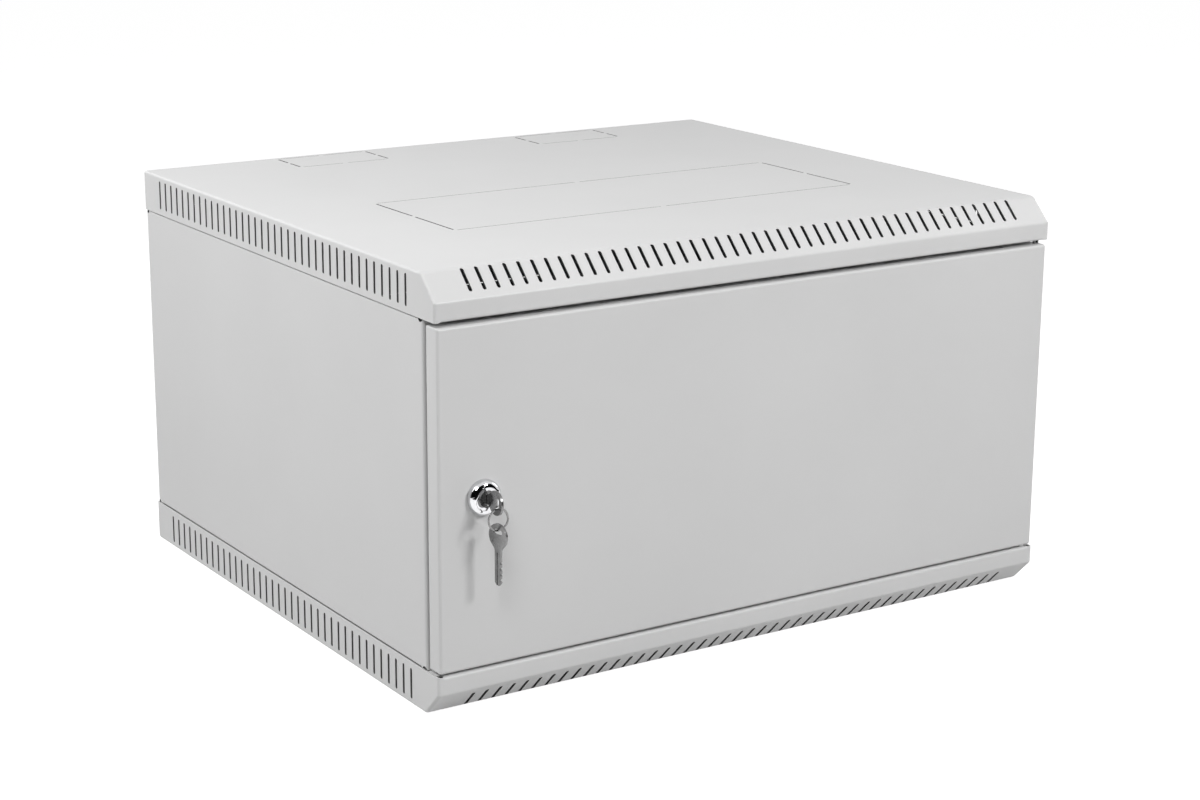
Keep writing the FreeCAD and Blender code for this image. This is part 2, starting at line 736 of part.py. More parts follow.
def make_rear_panel():
    """Flat back with folded top and bottom edges, wall holes and a cable knock-out."""
    body = new_body("rear_panel")
    half_width = post_web_x - dim.rear_gap
    plate = front_sketch(body, rear_y)
    rectangle(plate, -half_width, panel_bottom, half_width, panel_bottom + panel_height)
    pad(body, plate, dim.rear_wall)
    fold_x = post_edge_x - dim.rear_gap
    for level in (panel_bottom, panel_bottom + panel_height - dim.rear_wall):
        fold = plan_sketch(body, level)
        rectangle(fold, -fold_x, rear_y - dim.rear_edge, fold_x, rear_y - dim.rear_wall / 2)
        pad(body, fold, dim.rear_wall)
    holes = front_sketch(body, rear_inner_y)
    for x in (-dim.wall_hole_span / 2, dim.wall_hole_span / 2):
        for z in (mid_height - dim.wall_hole_rise / 2, mid_height + dim.wall_hole_rise / 2):
            circle(holes, x, z, dim.wall_hole_diameter / 2)
    half_entry = dim.rear_entry_width / 2
    entry_low = mid_height - dim.rear_entry_height / 2
    slit_ring(holes, -half_entry, entry_low, half_entry, entry_low + dim.rear_entry_height)
    pocket(body, holes, dim.rear_wall)
    return body


# Rack rails, which slide along the beams when their bolts are loose

def make_rail(label, turned):
    """Left rack rail: an angle with square holes at the rack spacing."""
    body = new_body(label)
    bottom = mid_height - rail_height / 2
    leg_x = -rail_side_x
    inner_x = dim.rail_inner_margin - dim.rail_span / 2
    section = plan_sketch(body, bottom)
    outline(section, (
        (leg_x, rail_front_y),
        (inner_x, rail_front_y),
        (inner_x, rail_front_y + dim.rail_wall),
        (leg_x + dim.rail_wall, rail_front_y + dim.rail_wall),
        (leg_x + dim.rail_wall, rail_front_y + dim.rail_leg),
        (leg_x, rail_front_y + dim.rail_leg),
    ))
    pad(body, section, rail_height)
    round_edges(
        body, dim.bend_radius,
        lambda edge: runs_along(edge, 2) and near(edge.BoundBox.XMin, leg_x) and near(edge.BoundBox.YMin, rail_front_y),
    )
    half = dim.square_hole / 2
    centre = -dim.rail_span / 2
    first = bottom + dim.rack_unit / 2
    holes = front_sketch(body, rail_front_y)
    for shift in (-dim.unit_hole_offset, as_size(0), dim.unit_hole_offset):
        rectangle(holes, centre - half, first + shift - half, centre + half, first + shift + half)
    cut = pocket(body, holes, dim.rail_wall)
    repeat(body, cut, "Z_Axis", dim.rack_unit, dim.rail_units)
    bolt_holes = side_sketch(body, leg_x + dim.rail_wall)
    for level in (dim.beam_level, dim.body_height - dim.beam_level):
        square(bolt_holes, rail_front_y + dim.rail_bolt_setback, level, bolt_hole)
    pocket(body, bolt_holes, dim.rail_wall)
    if turned:
        turn_over(body)
    return body


def make_rail_bolts(label, turned):
    """Bolts through the rail and the beam's slot, heads inside the cabinet."""
    body = new_body(label)
    seat_x = -rail_side_x + dim.rail_wall
    reach = dim.rail_wall + dim.rail_play + dim.sheet_wall + dim.running_gap + dim.washer_thickness
    length = reach + dim.nut_thickness + dim.pin_clearance
    y = rail_front_y + dim.rail_bolt_setback
    heads = side_sketch(body, seat_x)
    shanks = side_sketch(body, seat_x - length)
    for level in (dim.beam_level, dim.body_height - dim.beam_level):
        hexagon(heads, y, level, dim.nut_flats)
        rod(shanks, y, level, dim.stud_diameter)
    pad(body, heads, dim.nut_thickness)
    pad(body, shanks, length)
    if turned:
        turn_over(body)
    return body


def make_rail_nuts(label, turned):
    """Square washers and nuts on the outer side of the beam's slot."""
    body = new_body(label)
    washer_x = -post_edge_x - dim.sheet_wall - dim.running_gap - dim.washer_thickness
    y = rail_front_y + dim.rail_bolt_setback
    washers = side_sketch(body, washer_x)
    nuts = side_sketch(body, washer_x - dim.nut_thickness)
    for level in (dim.beam_level, dim.body_height - dim.beam_level):
        square(washers, y, level, dim.washer_width)
        rod(washers, y, level, nut_bore)
        hexagon(nuts, y, level, dim.nut_flats)
        rod(nuts, y, level, nut_bore)
    pad(body, washers, dim.washer_thickness)
    pad(body, nuts, dim.nut_thickness)
    if turned:
        turn_over(body)
    return body


# Door

def make_door_panel():
    """Folded tray with the lock's cut-out, hinge holes and an earth stud."""
    body = new_body("door_panel")
    face = front_sketch(body, door_back_y)
    rectangle(face, door_left_x, door_bottom, door_left_x + door_width, door_top)
    pad(body, face, dim.door_depth)
    hollow(body, lambda side: near(side.BoundBox.YMin, door_back_y))
    round_folds(body, door_width / 2, lambda edge: near(edge.BoundBox.YMax, front_y))
    for level in (door_bottom + dim.sheet_wall, door_top):
        hole = plan_sketch(body, level)
        circle(hole, hinge_x, hinge_y, pin_hole_radius)
        pocket(body, hole, dim.sheet_wall)
    lock_hole = front_sketch(body, front_y)
    circle(lock_hole, lock_x, mid_height, dim.barrel_diameter / 2 + dim.barrel_clearance)
    pocket(body, lock_hole, dim.sheet_wall)
    stud = front_sketch(body, front_y + dim.sheet_wall + dim.stud_length)
    rod(stud, door_stud_x, door_stud_z, dim.stud_diameter)
    pad(body, stud, dim.stud_length)
    return body


door_stud_x = hinge_x - dim.bracket_leg - dim.pin_lever
door_stud_z = door_bottom + dim.door_depth


def make_stiffener():
    """Upright hat section spot-welded to the middle of the door's inner face."""
    body = new_body("door_stiffener")
    seat = front_y + dim.sheet_wall
    crown = seat + dim.stiffener_depth
    wall = dim.sheet_wall
    half = dim.stiffener_width / 2
    foot = half + dim.stiffener_foot
    low = door_bottom + dim.stiffener_gap
    section = plan_sketch(body, low)
    outline(section, (
        (-foot, seat),
        (-half + wall, seat),
        (-half + wall, crown - wall),
        (half - wall, crown - wall),
        (half - wall, seat),
        (foot, seat),
        (foot, seat + wall),
        (half, seat + wall),
        (half, crown),
        (-half, crown),
        (-half, seat + wall),
        (-foot, seat + wall),
    ))
    pad(body, section, door_top - dim.stiffener_gap - low)
    return body


# Hinge pins

def lathe(body, points):
    """Turned shape: the points are radius and height about the piece's own Z axis."""
    profile = front_sketch(body, 0)
    outline(profile, points)
    return spin(body, profile)


def spin(body, profile):
    """Turn a profile right round the piece's own Z axis."""
    feature = body.newObject("PartDesign::Revolution", f"{body.Label}_turned")
    feature.Profile = profile
    feature.ReferenceAxis = (origin_feature(body, "Z_Axis"), [""])
    feature.Angle = 360
    return feature


def rounded_corner(edge_radius, top, rounding):
    """Points on the quarter circle that rounds a turned piece's upper edge."""
    points = []
    for step in range(ROUND_STEPS + 1):
        turn = math.pi / 2 * step / ROUND_STEPS
        points.append((
            edge_radius - rounding * (1 - math.cos(turn)),
            top - rounding * (1 - math.sin(turn)),
        ))
    return points


def stand_at(body, x, y, z):
    body.Placement.Base = FreeCAD.Vector(float(x), float(y), float(z))
    bind(body, ".Placement.Base.x", x)
    bind(body, ".Placement.Base.y", y)
    bind(body, ".Placement.Base.z", z)


def make_lower_pin():
    """Riveted into the base cover's ledge, with a collar that carries the door."""
    body = new_body("lower_hinge_pin")
    radius = dim.pin_diameter / 2
    below = dim.sheet_wall + dim.pin_rivet
    collar = dim.door_bottom_gap - dim.running_gap
    tip = dim.door_bottom_gap + dim.sheet_wall + dim.pin_reach
    lathe(body, (
        (0, -below),
        (radius, -below),
        (radius, 0),
        (dim.pin_collar / 2, 0),
        (dim.pin_collar / 2, collar),
        (radius, collar),
        (radius, tip - dim.pin_chamfer),
        (radius - dim.pin_chamfer, tip),
        (0, tip),
    ))
    stand_at(body, hinge_x, hinge_y, dim.cover_flange)
    return body


collar_top = door_top - dim.sheet_wall - dim.running_gap
collar_low = collar_top - dim.spring_collar_height
bracket_top = collar_low - dim.spring_length


def make_upper_pin():
    """Sprung pin: its head sits in the top cover's ledge, its tail ends in a finger lever."""
    body = new_body("upper_hinge_pin")
    radius = dim.pin_diameter / 2
    tip = door_top + dim.door_top_gap + dim.sheet_wall + dim.pin_rivet
    tail = bracket_top - dim.bracket_wall - dim.pin_tail
    lathe(body, (
        (0, tail),
        (radius, tail),
        (radius, collar_low),
        (dim.spring_collar / 2, collar_low),
        (dim.spring_collar / 2, collar_top),
        (radius, collar_top),
        (radius, tip - dim.pin_chamfer),
        (radius - dim.pin_chamfer, tip),
        (0, tip),
    ))
    path = front_sketch(body, 0)
    bend = dim.lever_bend
    corner = float(tail) - float(bend)
    path.addGeometry(Part.ArcOfCircle(
        Part.Circle(FreeCAD.Vector(-float(bend), float(tail), 0), FreeCAD.Vector(0, 0, 1), float(bend)),
        1.5 * math.pi, 2 * math.pi,
    ), False)
    path.addGeometry(Part.LineSegment(
        FreeCAD.Vector(-float(bend), corner, 0),
        FreeCAD.Vector(-float(bend + dim.pin_lever), corner, 0),
    ), False)
    path.addConstraint(Sketcher.Constraint("Coincident", 0, 1, 1, 1))
    path.addConstraint(Sketcher.Constraint("Horizontal", 1))
    fix_point(path, 0, 3, -bend, tail)
    fix_point(path, 0, 2, 0, tail)
    path.addConstraint(Sketcher.Constraint("Vertical", 0, 3, 0, 1))
    index = path.addConstraint(Sketcher.Constraint("DistanceX", -1, 1, 1, 2, -float(bend + dim.pin_lever)))
    bind(path, f"Constraints[{index}]", -(bend + dim.pin_lever))
    section = plan_sketch(body, tail)
    rod(section, as_size(0), as_size(0), dim.pin_diameter)
    document.recompute()
    pipe = body.newObject("PartDesign::AdditivePipe", "upper_hinge_pin_lever")
    pipe.Profile = section
    pipe.Spine = (path, ["Edge1", "Edge2"])
    stand_at(body, hinge_x, hinge_y, 0)
    return body


def make_pin_bracket():
    """Angle spot-welded inside the door: its shelf guides the sprung pin."""
    body = new_body("upper_pin_bracket")
    seat = front_y + dim.sheet_wall
    right = hinge_x + dim.hinge_edge - dim.sheet_wall - dim.running_gap
    left = right - dim.bracket_width
    shelf = plan_sketch(body, bracket_top - dim.bracket_wall)
    rectangle(shelf, left, seat, right, door_back_y - dim.sheet_wall)
    pad(body, shelf, dim.bracket_wall)
    leg = plan_sketch(body, bracket_top - dim.bracket_leg)
    rectangle(leg, left, seat, right, seat + dim.bracket_wall)
    pad(body, leg, dim.bracket_leg - dim.bracket_wall / 2)
    hole = plan_sketch(body, bracket_top)
    circle(hole, hinge_x, hinge_y, pin_hole_radius)
    pocket(body, hole, dim.bracket_wall)
    return body


def make_pin_spring():
    """Coil spring between the bracket's shelf and the pin's collar."""
    wire = float(dim.spring_wire)
    inner = float(pin_hole_radius) / math.cos(math.pi / ROD_SIDES)
    steps = ROD_SIDES * int(float(dim.spring_turns))
    rise = (float(dim.spring_length) - wire) / steps
    sections = []
    for step in range(steps + 1):
        turn = FreeCAD.Rotation(FreeCAD.Vector(0, 0, 1), 360 / ROD_SIDES * step)
        corners = []
        for radius, height in ((inner, 0), (inner + wire, 0), (inner + wire, wire), (inner, wire)):
            corners.append(turn.multVec(FreeCAD.Vector(radius, 0, height + rise * step)))
        sections.append(Part.makePolygon(corners + corners[:1]))
    spring = document.addObject("Part::Feature", "upper_pin_spring")
    spring.Label = "upper_pin_spring"
    spring.Shape = Part.makeLoft(sections, True, True)
    stand_at(spring, hinge_x, hinge_y, bracket_top)
    return spring


# Lock

def make_lock_body():
    """Domed bezel and threaded barrel with two flats, bored for the plug."""
    body = new_body("lock_body")
    bore = dim.plug_diameter / 2 + dim.plug_clearance
    barrel = dim.barrel_diameter / 2
    bezel = dim.bezel_diameter / 2
    lathe(body, (
        (bore, -dim.barrel_length),
        (barrel, -dim.barrel_length),
        (barrel, 0),
        (bezel, 0),
        *rounded_corner(bezel, dim.bezel_height, dim.bezel_round),
        (bore, dim.bezel_height),
    ))
    flats = plan_sketch(body, -(dim.sheet_wall + dim.running_gap))
    outer = barrel + dim.running_gap
    for side in (-1, 1):
        inner_edge = dim.barrel_flats / 2
        low, high = sorted((side * inner_edge, side * outer), key=float)
        rectangle(flats, low, -outer, high, outer)
    pocket(body, flats, dim.barrel_length)
    at_lock(body)
    return body


def make_lock_nut():
    """Nut that clamps the lock to the door's inner face."""
    body = new_body("lock_nut")
    nut = plan_sketch(body, -(dim.sheet_wall + dim.lock_nut_thickness))
    hexagon(nut, as_size(0), as_size(0), dim.lock_nut_flats)
    circle(nut, 0, 0, dim.barrel_diameter / 2 + dim.pin_clearance)
    pad(body, nut, dim.lock_nut_thickness)
    at_lock(body)
    return body


def make_lock_plug():
    """Turning core with its keyway and the square end that carries the cam."""
    body = new_body("lock_plug")
    core = plan_sketch(body, -dim.barrel_length)
    circle(core, 0, 0, dim.plug_diameter / 2)
    pad(body, core, dim.barrel_length + plug_face)
    half = dim.plug_square / 2
    square_length = dim.running_gap + dim.cam_wall + dim.pin_clearance
    square_end = plan_sketch(body, -dim.barrel_length - square_length)
    rectangle(square_end, -half, -half, half, half)
    pad(body, square_end, square_length)
    keyway = plan_sketch(body, plug_face)
    reach_x = dim.key_wall / 2 + dim.key_clearance
    reach_y = dim.blade_width / 2 + dim.key_clearance
    rectangle(keyway, -reach_x, -reach_y, reach_x, reach_y)
    pocket(body, keyway, dim.blade_length + dim.key_clearance)
    screw_hole = plan_sketch(body, -dim.barrel_length - square_length + cam_screw_depth)
    circle(screw_hole, 0, 0, dim.cam_screw_diameter / 2 + dim.pin_clearance)
    pocket(body, screw_hole, cam_screw_depth)
    at_lock(body)
    return body


cam_screw_depth = dim.cam_screw_reach + dim.running_gap


def make_lock_cam():
    """Flat lever on the plug: upright when unlocked, behind the left post when locked."""
    body = new_body("lock_cam")
    level = -(cam_level + dim.cam_wall)
    round_end = plan_sketch(body, level)
    circle(round_end, 0, 0, dim.cam_width / 2)
    pad(body, round_end, dim.cam_wall)
    arm = plan_sketch(body, level)
    half = dim.cam_width / 2
    corner = dim.cam_corner
    outline(arm, (
        (-half, 0),
        (half, 0),
        (half, dim.cam_length - corner),
        (half - corner, dim.cam_length),
        (corner - half, dim.cam_length),
        (-half, dim.cam_length - corner),
    ))
    pad(body, arm, dim.cam_wall)
    hole = plan_sketch(body, level + dim.cam_wall)
    reach = dim.plug_square / 2 + dim.pin_clearance
    rectangle(hole, -reach, -reach, reach, reach)
    pocket(body, hole, dim.cam_wall)
    at_lock(body)
    return body


def make_cam_screw():
    """Screw that holds the cam on the plug's square."""
    body = new_body("cam_screw")
    seat = -(cam_level + dim.cam_wall + dim.pin_clearance)
    head = plan_sketch(body, seat - dim.cam_screw_head_height)
    circle(head, 0, 0, dim.cam_screw_head / 2)
    pad(body, head, dim.cam_screw_head_height)
    shank = plan_sketch(body, seat)
    circle(shank, 0, 0, dim.cam_screw_diameter / 2)
    pad(body, shank, dim.cam_screw_reach)
    at_lock(body)
    return body


# Keys and ring

def key_solid(label):
    """Flat key, tip down: notched blade, tapered neck and a round bow with a slot."""
    body = new_body(label)
    half_wall = dim.key_wall / 2
    edge = dim.blade_width / 2
    tip = dim.blade_tip
    points = [(-tip / 2, 0), (tip / 2, 0), (edge, tip)]
    for notch in range(int(float(dim.notch_count))):
        level = dim.notch_pitch * (notch + 1)
        points.append((edge, level - dim.notch_depth))
        points.append((edge - dim.notch_depth, level))
        points.append((edge, level + dim.notch_depth))
    bow_radius = dim.bow_diameter / 2
    bow_level = dim.blade_length + dim.neck_length
    shoulder = dim.shoulder_width / 2
    shoulder_level = bow_level - dim.shoulder_drop
    points += [
        (edge, dim.blade_length),
        (shoulder, shoulder_level),
        (-shoulder, shoulder_level),
        (-edge, dim.blade_length),
        (-edge, tip),
    ]
    blade = side_sketch(body, -half_wall)
    outline(blade, points)
    pad(body, blade, dim.key_wall)
    bow = side_sketch(body, -half_wall)
    circle(bow, 0, bow_level, bow_radius)
    pad(body, bow, dim.key_wall)
    slot = side_sketch(body, half_wall)
    middle = bow_level + dim.bow_slot_offset
    half_length = dim.bow_slot_length / 2
    half_width = dim.bow_slot_width / 2
    cut_corner_slot(slot, as_size(0), middle, half_length, half_width, dim.bow_slot_corner)
    pocket(body, slot, dim.key_wall)
    return body


slot_level = dim.blade_length + dim.neck_length + dim.bow_slot_offset
key_seat_y = front_y - plug_face - dim.running_gap + dim.blade_length
ring_y = key_seat_y - slot_level
ring_radius = dim.ring_diameter / 2
ring_top = mid_height - dim.bow_slot_length / 2 + dim.running_gap + dim.ring_wire / 2
ring_middle = ring_top - ring_radius
ring_low = ring_middle - ring_radius
spare_slot_edge = ring_low + dim.ring_wire / 2 + dim.running_gap
spare_base = spare_slot_edge - dim.bow_slot_width / 2 - slot_level


def make_key_in_lock():
    body = key_solid("key_in_lock")
    body.Placement = FreeCAD.Placement(
        FreeCAD.Vector(0, 0, 0), FreeCAD.Rotation(FreeCAD.Vector(1, 0, 0), 90)
    )
    stand_at(body, lock_x, key_seat_y, mid_height)
    return body


def make_key_ring():
    """Ring through both bows, hanging in a plane that faces the door."""
    ring = new_body("key_ring")
    profile = front_sketch(ring, 0)
    rod(profile, ring_radius, as_size(0), dim.ring_wire)
    spin(ring, profile)
    ring.Placement = FreeCAD.Placement(
        FreeCAD.Vector(0, 0, 0), FreeCAD.Rotation(FreeCAD.Vector(1, 0, 0), 90)
    )
    stand_at(ring, lock_x, ring_y, ring_middle)
    return ring


def make_spare_key():
    body = key_solid("spare_key")
    body.Placement = FreeCAD.Placement(
        FreeCAD.Vector(0, 0, 0), FreeCAD.Rotation(FreeCAD.Vector(0, 0, 1), float(dim.spare_twist))
    )
    bind(body, ".Placement.Rotation.Angle", dim.spare_twist)
    stand_at(body, lock_x, ring_y, spare_base)
    return body


# Earth nuts

def make_earth_nut():
    """Nut on the base cover's earth stud."""
    body = new_body("earth_nut")
    nut = plan_sketch(body, dim.sheet_wall + dim.nut_seat_gap)
    x, y = earth_place
    hexagon(nut, x, y, dim.nut_flats)
    rod(nut, x, y, nut_bore)
    pad(body, nut, dim.nut_thickness)
    return body


def make_door_earth_nut():
    """Nut on the door's earth stud."""
    body = new_body("door_earth_nut")
    seat = front_y + dim.sheet_wall + dim.nut_seat_gap
    nut = front_sketch(body, seat + dim.nut_thickness)
    hexagon(nut, door_stud_x, door_stud_z, dim.nut_flats)
    rod(nut, door_stud_x, door_stud_z, nut_bore)
    pad(body, nut, dim.nut_thickness)
    return body


earth_place = (dim.earth_side, rear_y - dim.earth_rear)
sides = (("left", False), ("right", True))
sub_parts = [
    make_cover("top_cover", False, []),
    make_cover("base_cover", True, [(-earth_place[0], earth_place[1])]),
    make_rear_panel(),
    make_frame_nuts("top_frame_nuts", False),
    make_frame_nuts("base_frame_nuts", True),
    make_earth_nut(),
    make_door_earth_nut(),
]
for side, turned in sides:
    sub_parts.append(make_side_panel(f"{side}_side_panel", turned))
    sub_parts.append(make_post(f"front_post_{side}", post_front_y, turned))
    sub_parts.append(make_post(f"rear_post_{side}", rear_post_y, turned))
    sub_parts.append(make_beam(f"lower_beam_{side}", turned, turned))
    sub_parts.append(make_beam(f"upper_beam_{side}", not turned, turned))
    sub_parts.append(make_rail(f"rack_rail_{side}", turned))
    sub_parts.append(make_rail_bolts(f"rail_bolts_{side}", turned))
    sub_parts.append(make_rail_nuts(f"rail_nuts_{side}", turned))
sub_parts += [
    make_door_panel(),
    make_stiffener(),
    make_lower_pin(),
    make_upper_pin(),
    make_pin_bracket(),
    make_pin_spring(),
    make_lock_body(),
    make_lock_nut(),
    make_lock_plug(),
    make_lock_cam(),
    make_cam_screw(),
    make_key_in_lock(),
    make_key_ring(),
    make_spare_key(),
]

document.recompute()
for item in document.Objects:
    if "Invalid" in item.State or "Error" in item.State:
        raise RuntimeError(f"{item.Label} failed: {item.State}")
os.makedirs("parts", exist_ok=True)
for item in sub_parts:
    if item.Shape.isNull() or not item.Shape.isValid():
        raise RuntimeError(f"{item.Label} has no valid shape")
    item.Shape.exportStep(f"parts/{item.Label}.step")
    print(item.Label, len(item.Shape.Solids), "solid", round(item.Shape.Volume), "mm3")
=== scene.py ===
# %% [markdown]
# A steel wall cabinet for network equipment, dressed for a photograph.
# The CAD model gives every sub-part its place, so each piece here is modelled around it.
# All sizes are in metres. MM turns a drawing's millimetres into metres.

import json
import math

import bmesh
import bpy
from mathutils import Matrix, Vector

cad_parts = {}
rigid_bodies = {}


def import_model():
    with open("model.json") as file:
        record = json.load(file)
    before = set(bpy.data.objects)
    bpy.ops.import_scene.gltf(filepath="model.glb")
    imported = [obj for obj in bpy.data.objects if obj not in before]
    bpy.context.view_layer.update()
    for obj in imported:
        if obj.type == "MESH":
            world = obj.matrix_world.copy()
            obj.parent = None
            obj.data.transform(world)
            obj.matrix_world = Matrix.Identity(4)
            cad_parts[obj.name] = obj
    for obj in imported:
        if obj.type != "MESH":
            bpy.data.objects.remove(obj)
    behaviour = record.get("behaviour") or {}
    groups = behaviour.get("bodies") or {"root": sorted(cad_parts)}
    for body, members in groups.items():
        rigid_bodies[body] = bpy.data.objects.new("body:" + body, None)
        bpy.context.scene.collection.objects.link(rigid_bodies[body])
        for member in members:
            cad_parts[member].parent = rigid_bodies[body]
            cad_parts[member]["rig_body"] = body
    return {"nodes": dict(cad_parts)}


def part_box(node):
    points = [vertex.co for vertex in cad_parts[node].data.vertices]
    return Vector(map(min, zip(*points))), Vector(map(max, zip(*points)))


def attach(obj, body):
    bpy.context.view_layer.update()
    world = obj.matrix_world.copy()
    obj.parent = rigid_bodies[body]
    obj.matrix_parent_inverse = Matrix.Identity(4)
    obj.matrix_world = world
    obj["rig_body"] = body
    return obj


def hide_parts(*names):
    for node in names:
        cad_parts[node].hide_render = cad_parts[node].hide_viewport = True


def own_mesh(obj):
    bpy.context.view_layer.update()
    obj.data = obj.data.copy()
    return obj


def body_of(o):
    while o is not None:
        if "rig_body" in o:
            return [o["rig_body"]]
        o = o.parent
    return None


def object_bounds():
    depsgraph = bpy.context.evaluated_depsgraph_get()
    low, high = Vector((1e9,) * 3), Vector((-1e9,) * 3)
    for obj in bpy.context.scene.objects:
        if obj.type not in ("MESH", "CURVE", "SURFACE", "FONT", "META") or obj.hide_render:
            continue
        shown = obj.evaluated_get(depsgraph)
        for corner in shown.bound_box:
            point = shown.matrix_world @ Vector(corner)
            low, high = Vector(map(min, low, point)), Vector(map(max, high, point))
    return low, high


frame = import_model()
cad_low, cad_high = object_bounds()
MM = 0.001
print("CAD box in mm:", [round(value / MM, 1) for value in (*cad_low, *cad_high)])

# %% [markdown]
# The camera stands to the left of the door and a little above the cabinet, and looks down at it.
# It could be placed by eye, but the edges of the box in the photograph give its place and lens,
# so both are set as numbers. The angles are in degrees: tilt up from straight down, roll and turn.

# %% Camera
CAMERA_PLACE = (-1.1510, -1.7901, 0.7223)
CAMERA_ANGLES = (74.95, -0.34, -33.03)
CAMERA_LENS = 74.01
CAMERA_REACH = 50
bpy.ops.object.camera_add(location=CAMERA_PLACE, rotation=[math.radians(angle) for angle in CAMERA_ANGLES])
camera = bpy.context.object
camera.name = "camera"
camera.data.lens = CAMERA_LENS
camera.data.clip_end = CAMERA_REACH
bpy.context.scene.camera = camera
print("camera", camera.data.lens, "mm lens")

# %% [markdown]
# Node materials are long to write by hand, so two small classes keep them short.
# A Wire is what leaves a node. Sums on wires add Math nodes, so a mask reads like arithmetic.
# A Finish is one material: its node method adds any node, sets it up and plugs in its inputs.

# %% Wires and finishes
class Wire:
    """A value that leaves a node's output."""

    def __init__(self, finish, socket):
        self.finish = finish
        self.socket = socket

    def combine(self, operation, first, second):
        """A Math node in the same material, fed by two wires or numbers."""
        return self.finish.node("ShaderNodeMath", {"operation": operation}, {0: first, 1: second})

    def either(self, other):
        """The larger of two, which is 1 where either mask is."""
        return self.combine("MAXIMUM", self, other)

    def __add__(self, other):
        return self.combine("ADD", self, other)

    __radd__ = __add__

    def __mul__(self, other):
        return self.combine("MULTIPLY", self, other)

    __rmul__ = __mul__

    def __sub__(self, other):
        return self.combine("SUBTRACT", self, other)

    def __rsub__(self, other):
        return self.combine("SUBTRACT", other, self)


class Finish:
    """A material, or the world, built node by node."""

    def __init__(self, owner):
        self.owner = owner
        owner.use_nodes = True
        self.tree = owner.node_tree
        self.tree.nodes.clear()

    def node(self, kind, settings=None, inputs=None, output=0):
        """Add a node, set it up, then fill its sockets with values or wires."""
        node = self.tree.nodes.new(kind)
        for name, value in (settings or {}).items():
            if name == "stops":
                first, last = node.color_ramp.elements
                (first.position, first.color), (last.position, last.color) = value
            else:
                setattr(node, name, value)
        for name, value in (inputs or {}).items():
            if isinstance(value, Wire):
                self.tree.links.new(value.socket, node.inputs[name])
            else:
                node.inputs[name].default_value = value
        return Wire(self, node.outputs[output]) if len(node.outputs) else None


def grey(shade):
    """A neutral colour from a shade of 0 to 255 as a screen shows it."""
    share = shade / 255
    linear = share / 12.92 if share <= 0.04045 else ((share + 0.055) / 1.055) ** 2.4
    return (linear, linear, linear, 1.0)


print("a screen's 204 grey is", round(grey(204)[0], 3), "in light")

# %% [markdown]
# The stage is a plain pale floor under soft light. In the photograph the background is pure white.
# More light would bleach the cabinet too. Instead, camera and mirror rays see a white world,
# and the floor adds a little glow of its own for them, which leaves its shadow visible.

# %% Stage
FLOOR_SIZE = 24.0
FLOOR_GREY = 178
FLOOR_GLOW = 0.90
SKY = 0.20


def seen_directly(finish):
    """1 for rays from the camera and from mirror or glass, 0 for rays that only carry light."""
    path = finish.tree.nodes.new("ShaderNodeLightPath")
    rays = ("Is Camera Ray", "Is Glossy Ray", "Is Transmission Ray")
    camera_ray, mirror_ray, glass_ray = [Wire(finish, path.outputs[ray]) for ray in rays]
    return camera_ray.either(mirror_ray).either(glass_ray)


def paint_floor():
    finish = Finish(bpy.data.materials.new("pale_floor"))
    matt = finish.node("ShaderNodeBsdfDiffuse", None, {"Color": grey(FLOOR_GREY)})
    glow = finish.node("ShaderNodeEmission", None, {"Color": grey(255), "Strength": FLOOR_GLOW})
    bright = finish.node("ShaderNodeAddShader", None, {0: matt, 1: glow})
    shown = finish.node("ShaderNodeMixShader", None, {0: seen_directly(finish), 1: matt, 2: bright})
    finish.node("ShaderNodeOutputMaterial", None, {"Surface": shown})
    return finish.owner


def light_world():
    """White where it is seen, and for light alone a dim, even sky."""
    finish = Finish(bpy.context.scene.world or bpy.data.worlds.new("studio"))
    bpy.context.scene.world = finish.owner
    soft = finish.node("ShaderNodeBackground", None, {"Color": grey(255), "Strength": SKY})
    white = finish.node("ShaderNodeBackground", None, {"Color": grey(255), "Strength": 1.0})
    shown = finish.node("ShaderNodeMixShader", None, {0: seen_directly(finish), 1: soft, 2: white})
    finish.node("ShaderNodeOutputWorld", None, {"Surface": shown})


bpy.ops.mesh.primitive_plane_add(size=FLOOR_SIZE, location=(0, 0, 0))
floor = bpy.context.object
floor.name = "floor"
floor.data.materials.append(paint_floor())
light_world()
bpy.context.scene.view_settings.view_transform = "Standard"
print("floor", FLOOR_SIZE, "m wide")

# %% [markdown]
# Chrome is only as good as what it reflects. In a white tent it looks like white paint, so
# photographers stand black cards before it. Here one stands in front, one at the left, and one lies
# low. They hide from the camera, throw no shadow and block no light: only mirror rays find them.

# %% Black cards
CARD_GREY = 28
CARDS = (
    ("card_front", (0.0, -3.6, 2.0), (9.0, 0.02, 4.0)),
    ("card_left", (-4.2, -1.4, 2.0), (0.02, 4.4, 4.0)),
    ("card_low", (1.4, -2.2, 0.02), (6.0, 2.6, 0.02)),
)

card_paint = Finish(bpy.data.materials.new("black_card"))
card_shader = card_paint.node("ShaderNodeBsdfDiffuse", None, {"Color": grey(CARD_GREY)})
card_paint.node("ShaderNodeOutputMaterial", None, {"Surface": card_shader})
for name, place, size in CARDS:
    bpy.ops.mesh.primitive_cube_add(size=1, location=place, scale=size)
    card = bpy.context.object
    card.name = name
    bpy.ops.object.transform_apply(location=True, rotation=True, scale=True)
    card.data.materials.append(card_paint.owner)
    for ray in ("camera", "diffuse", "transmission", "volume_scatter", "shadow"):
        setattr(card, f"visible_{ray}", False)
    print(name, "is seen by mirror rays only")

# %% [markdown]
# Five lamps shape the box: a soft one for each side, one for the back, and two round ones in front,
# whose small size gives the lock its round glints and its shadow on the door. The back lamp stands
# to the left, because straight across from the camera its mirror image would whiten the top.

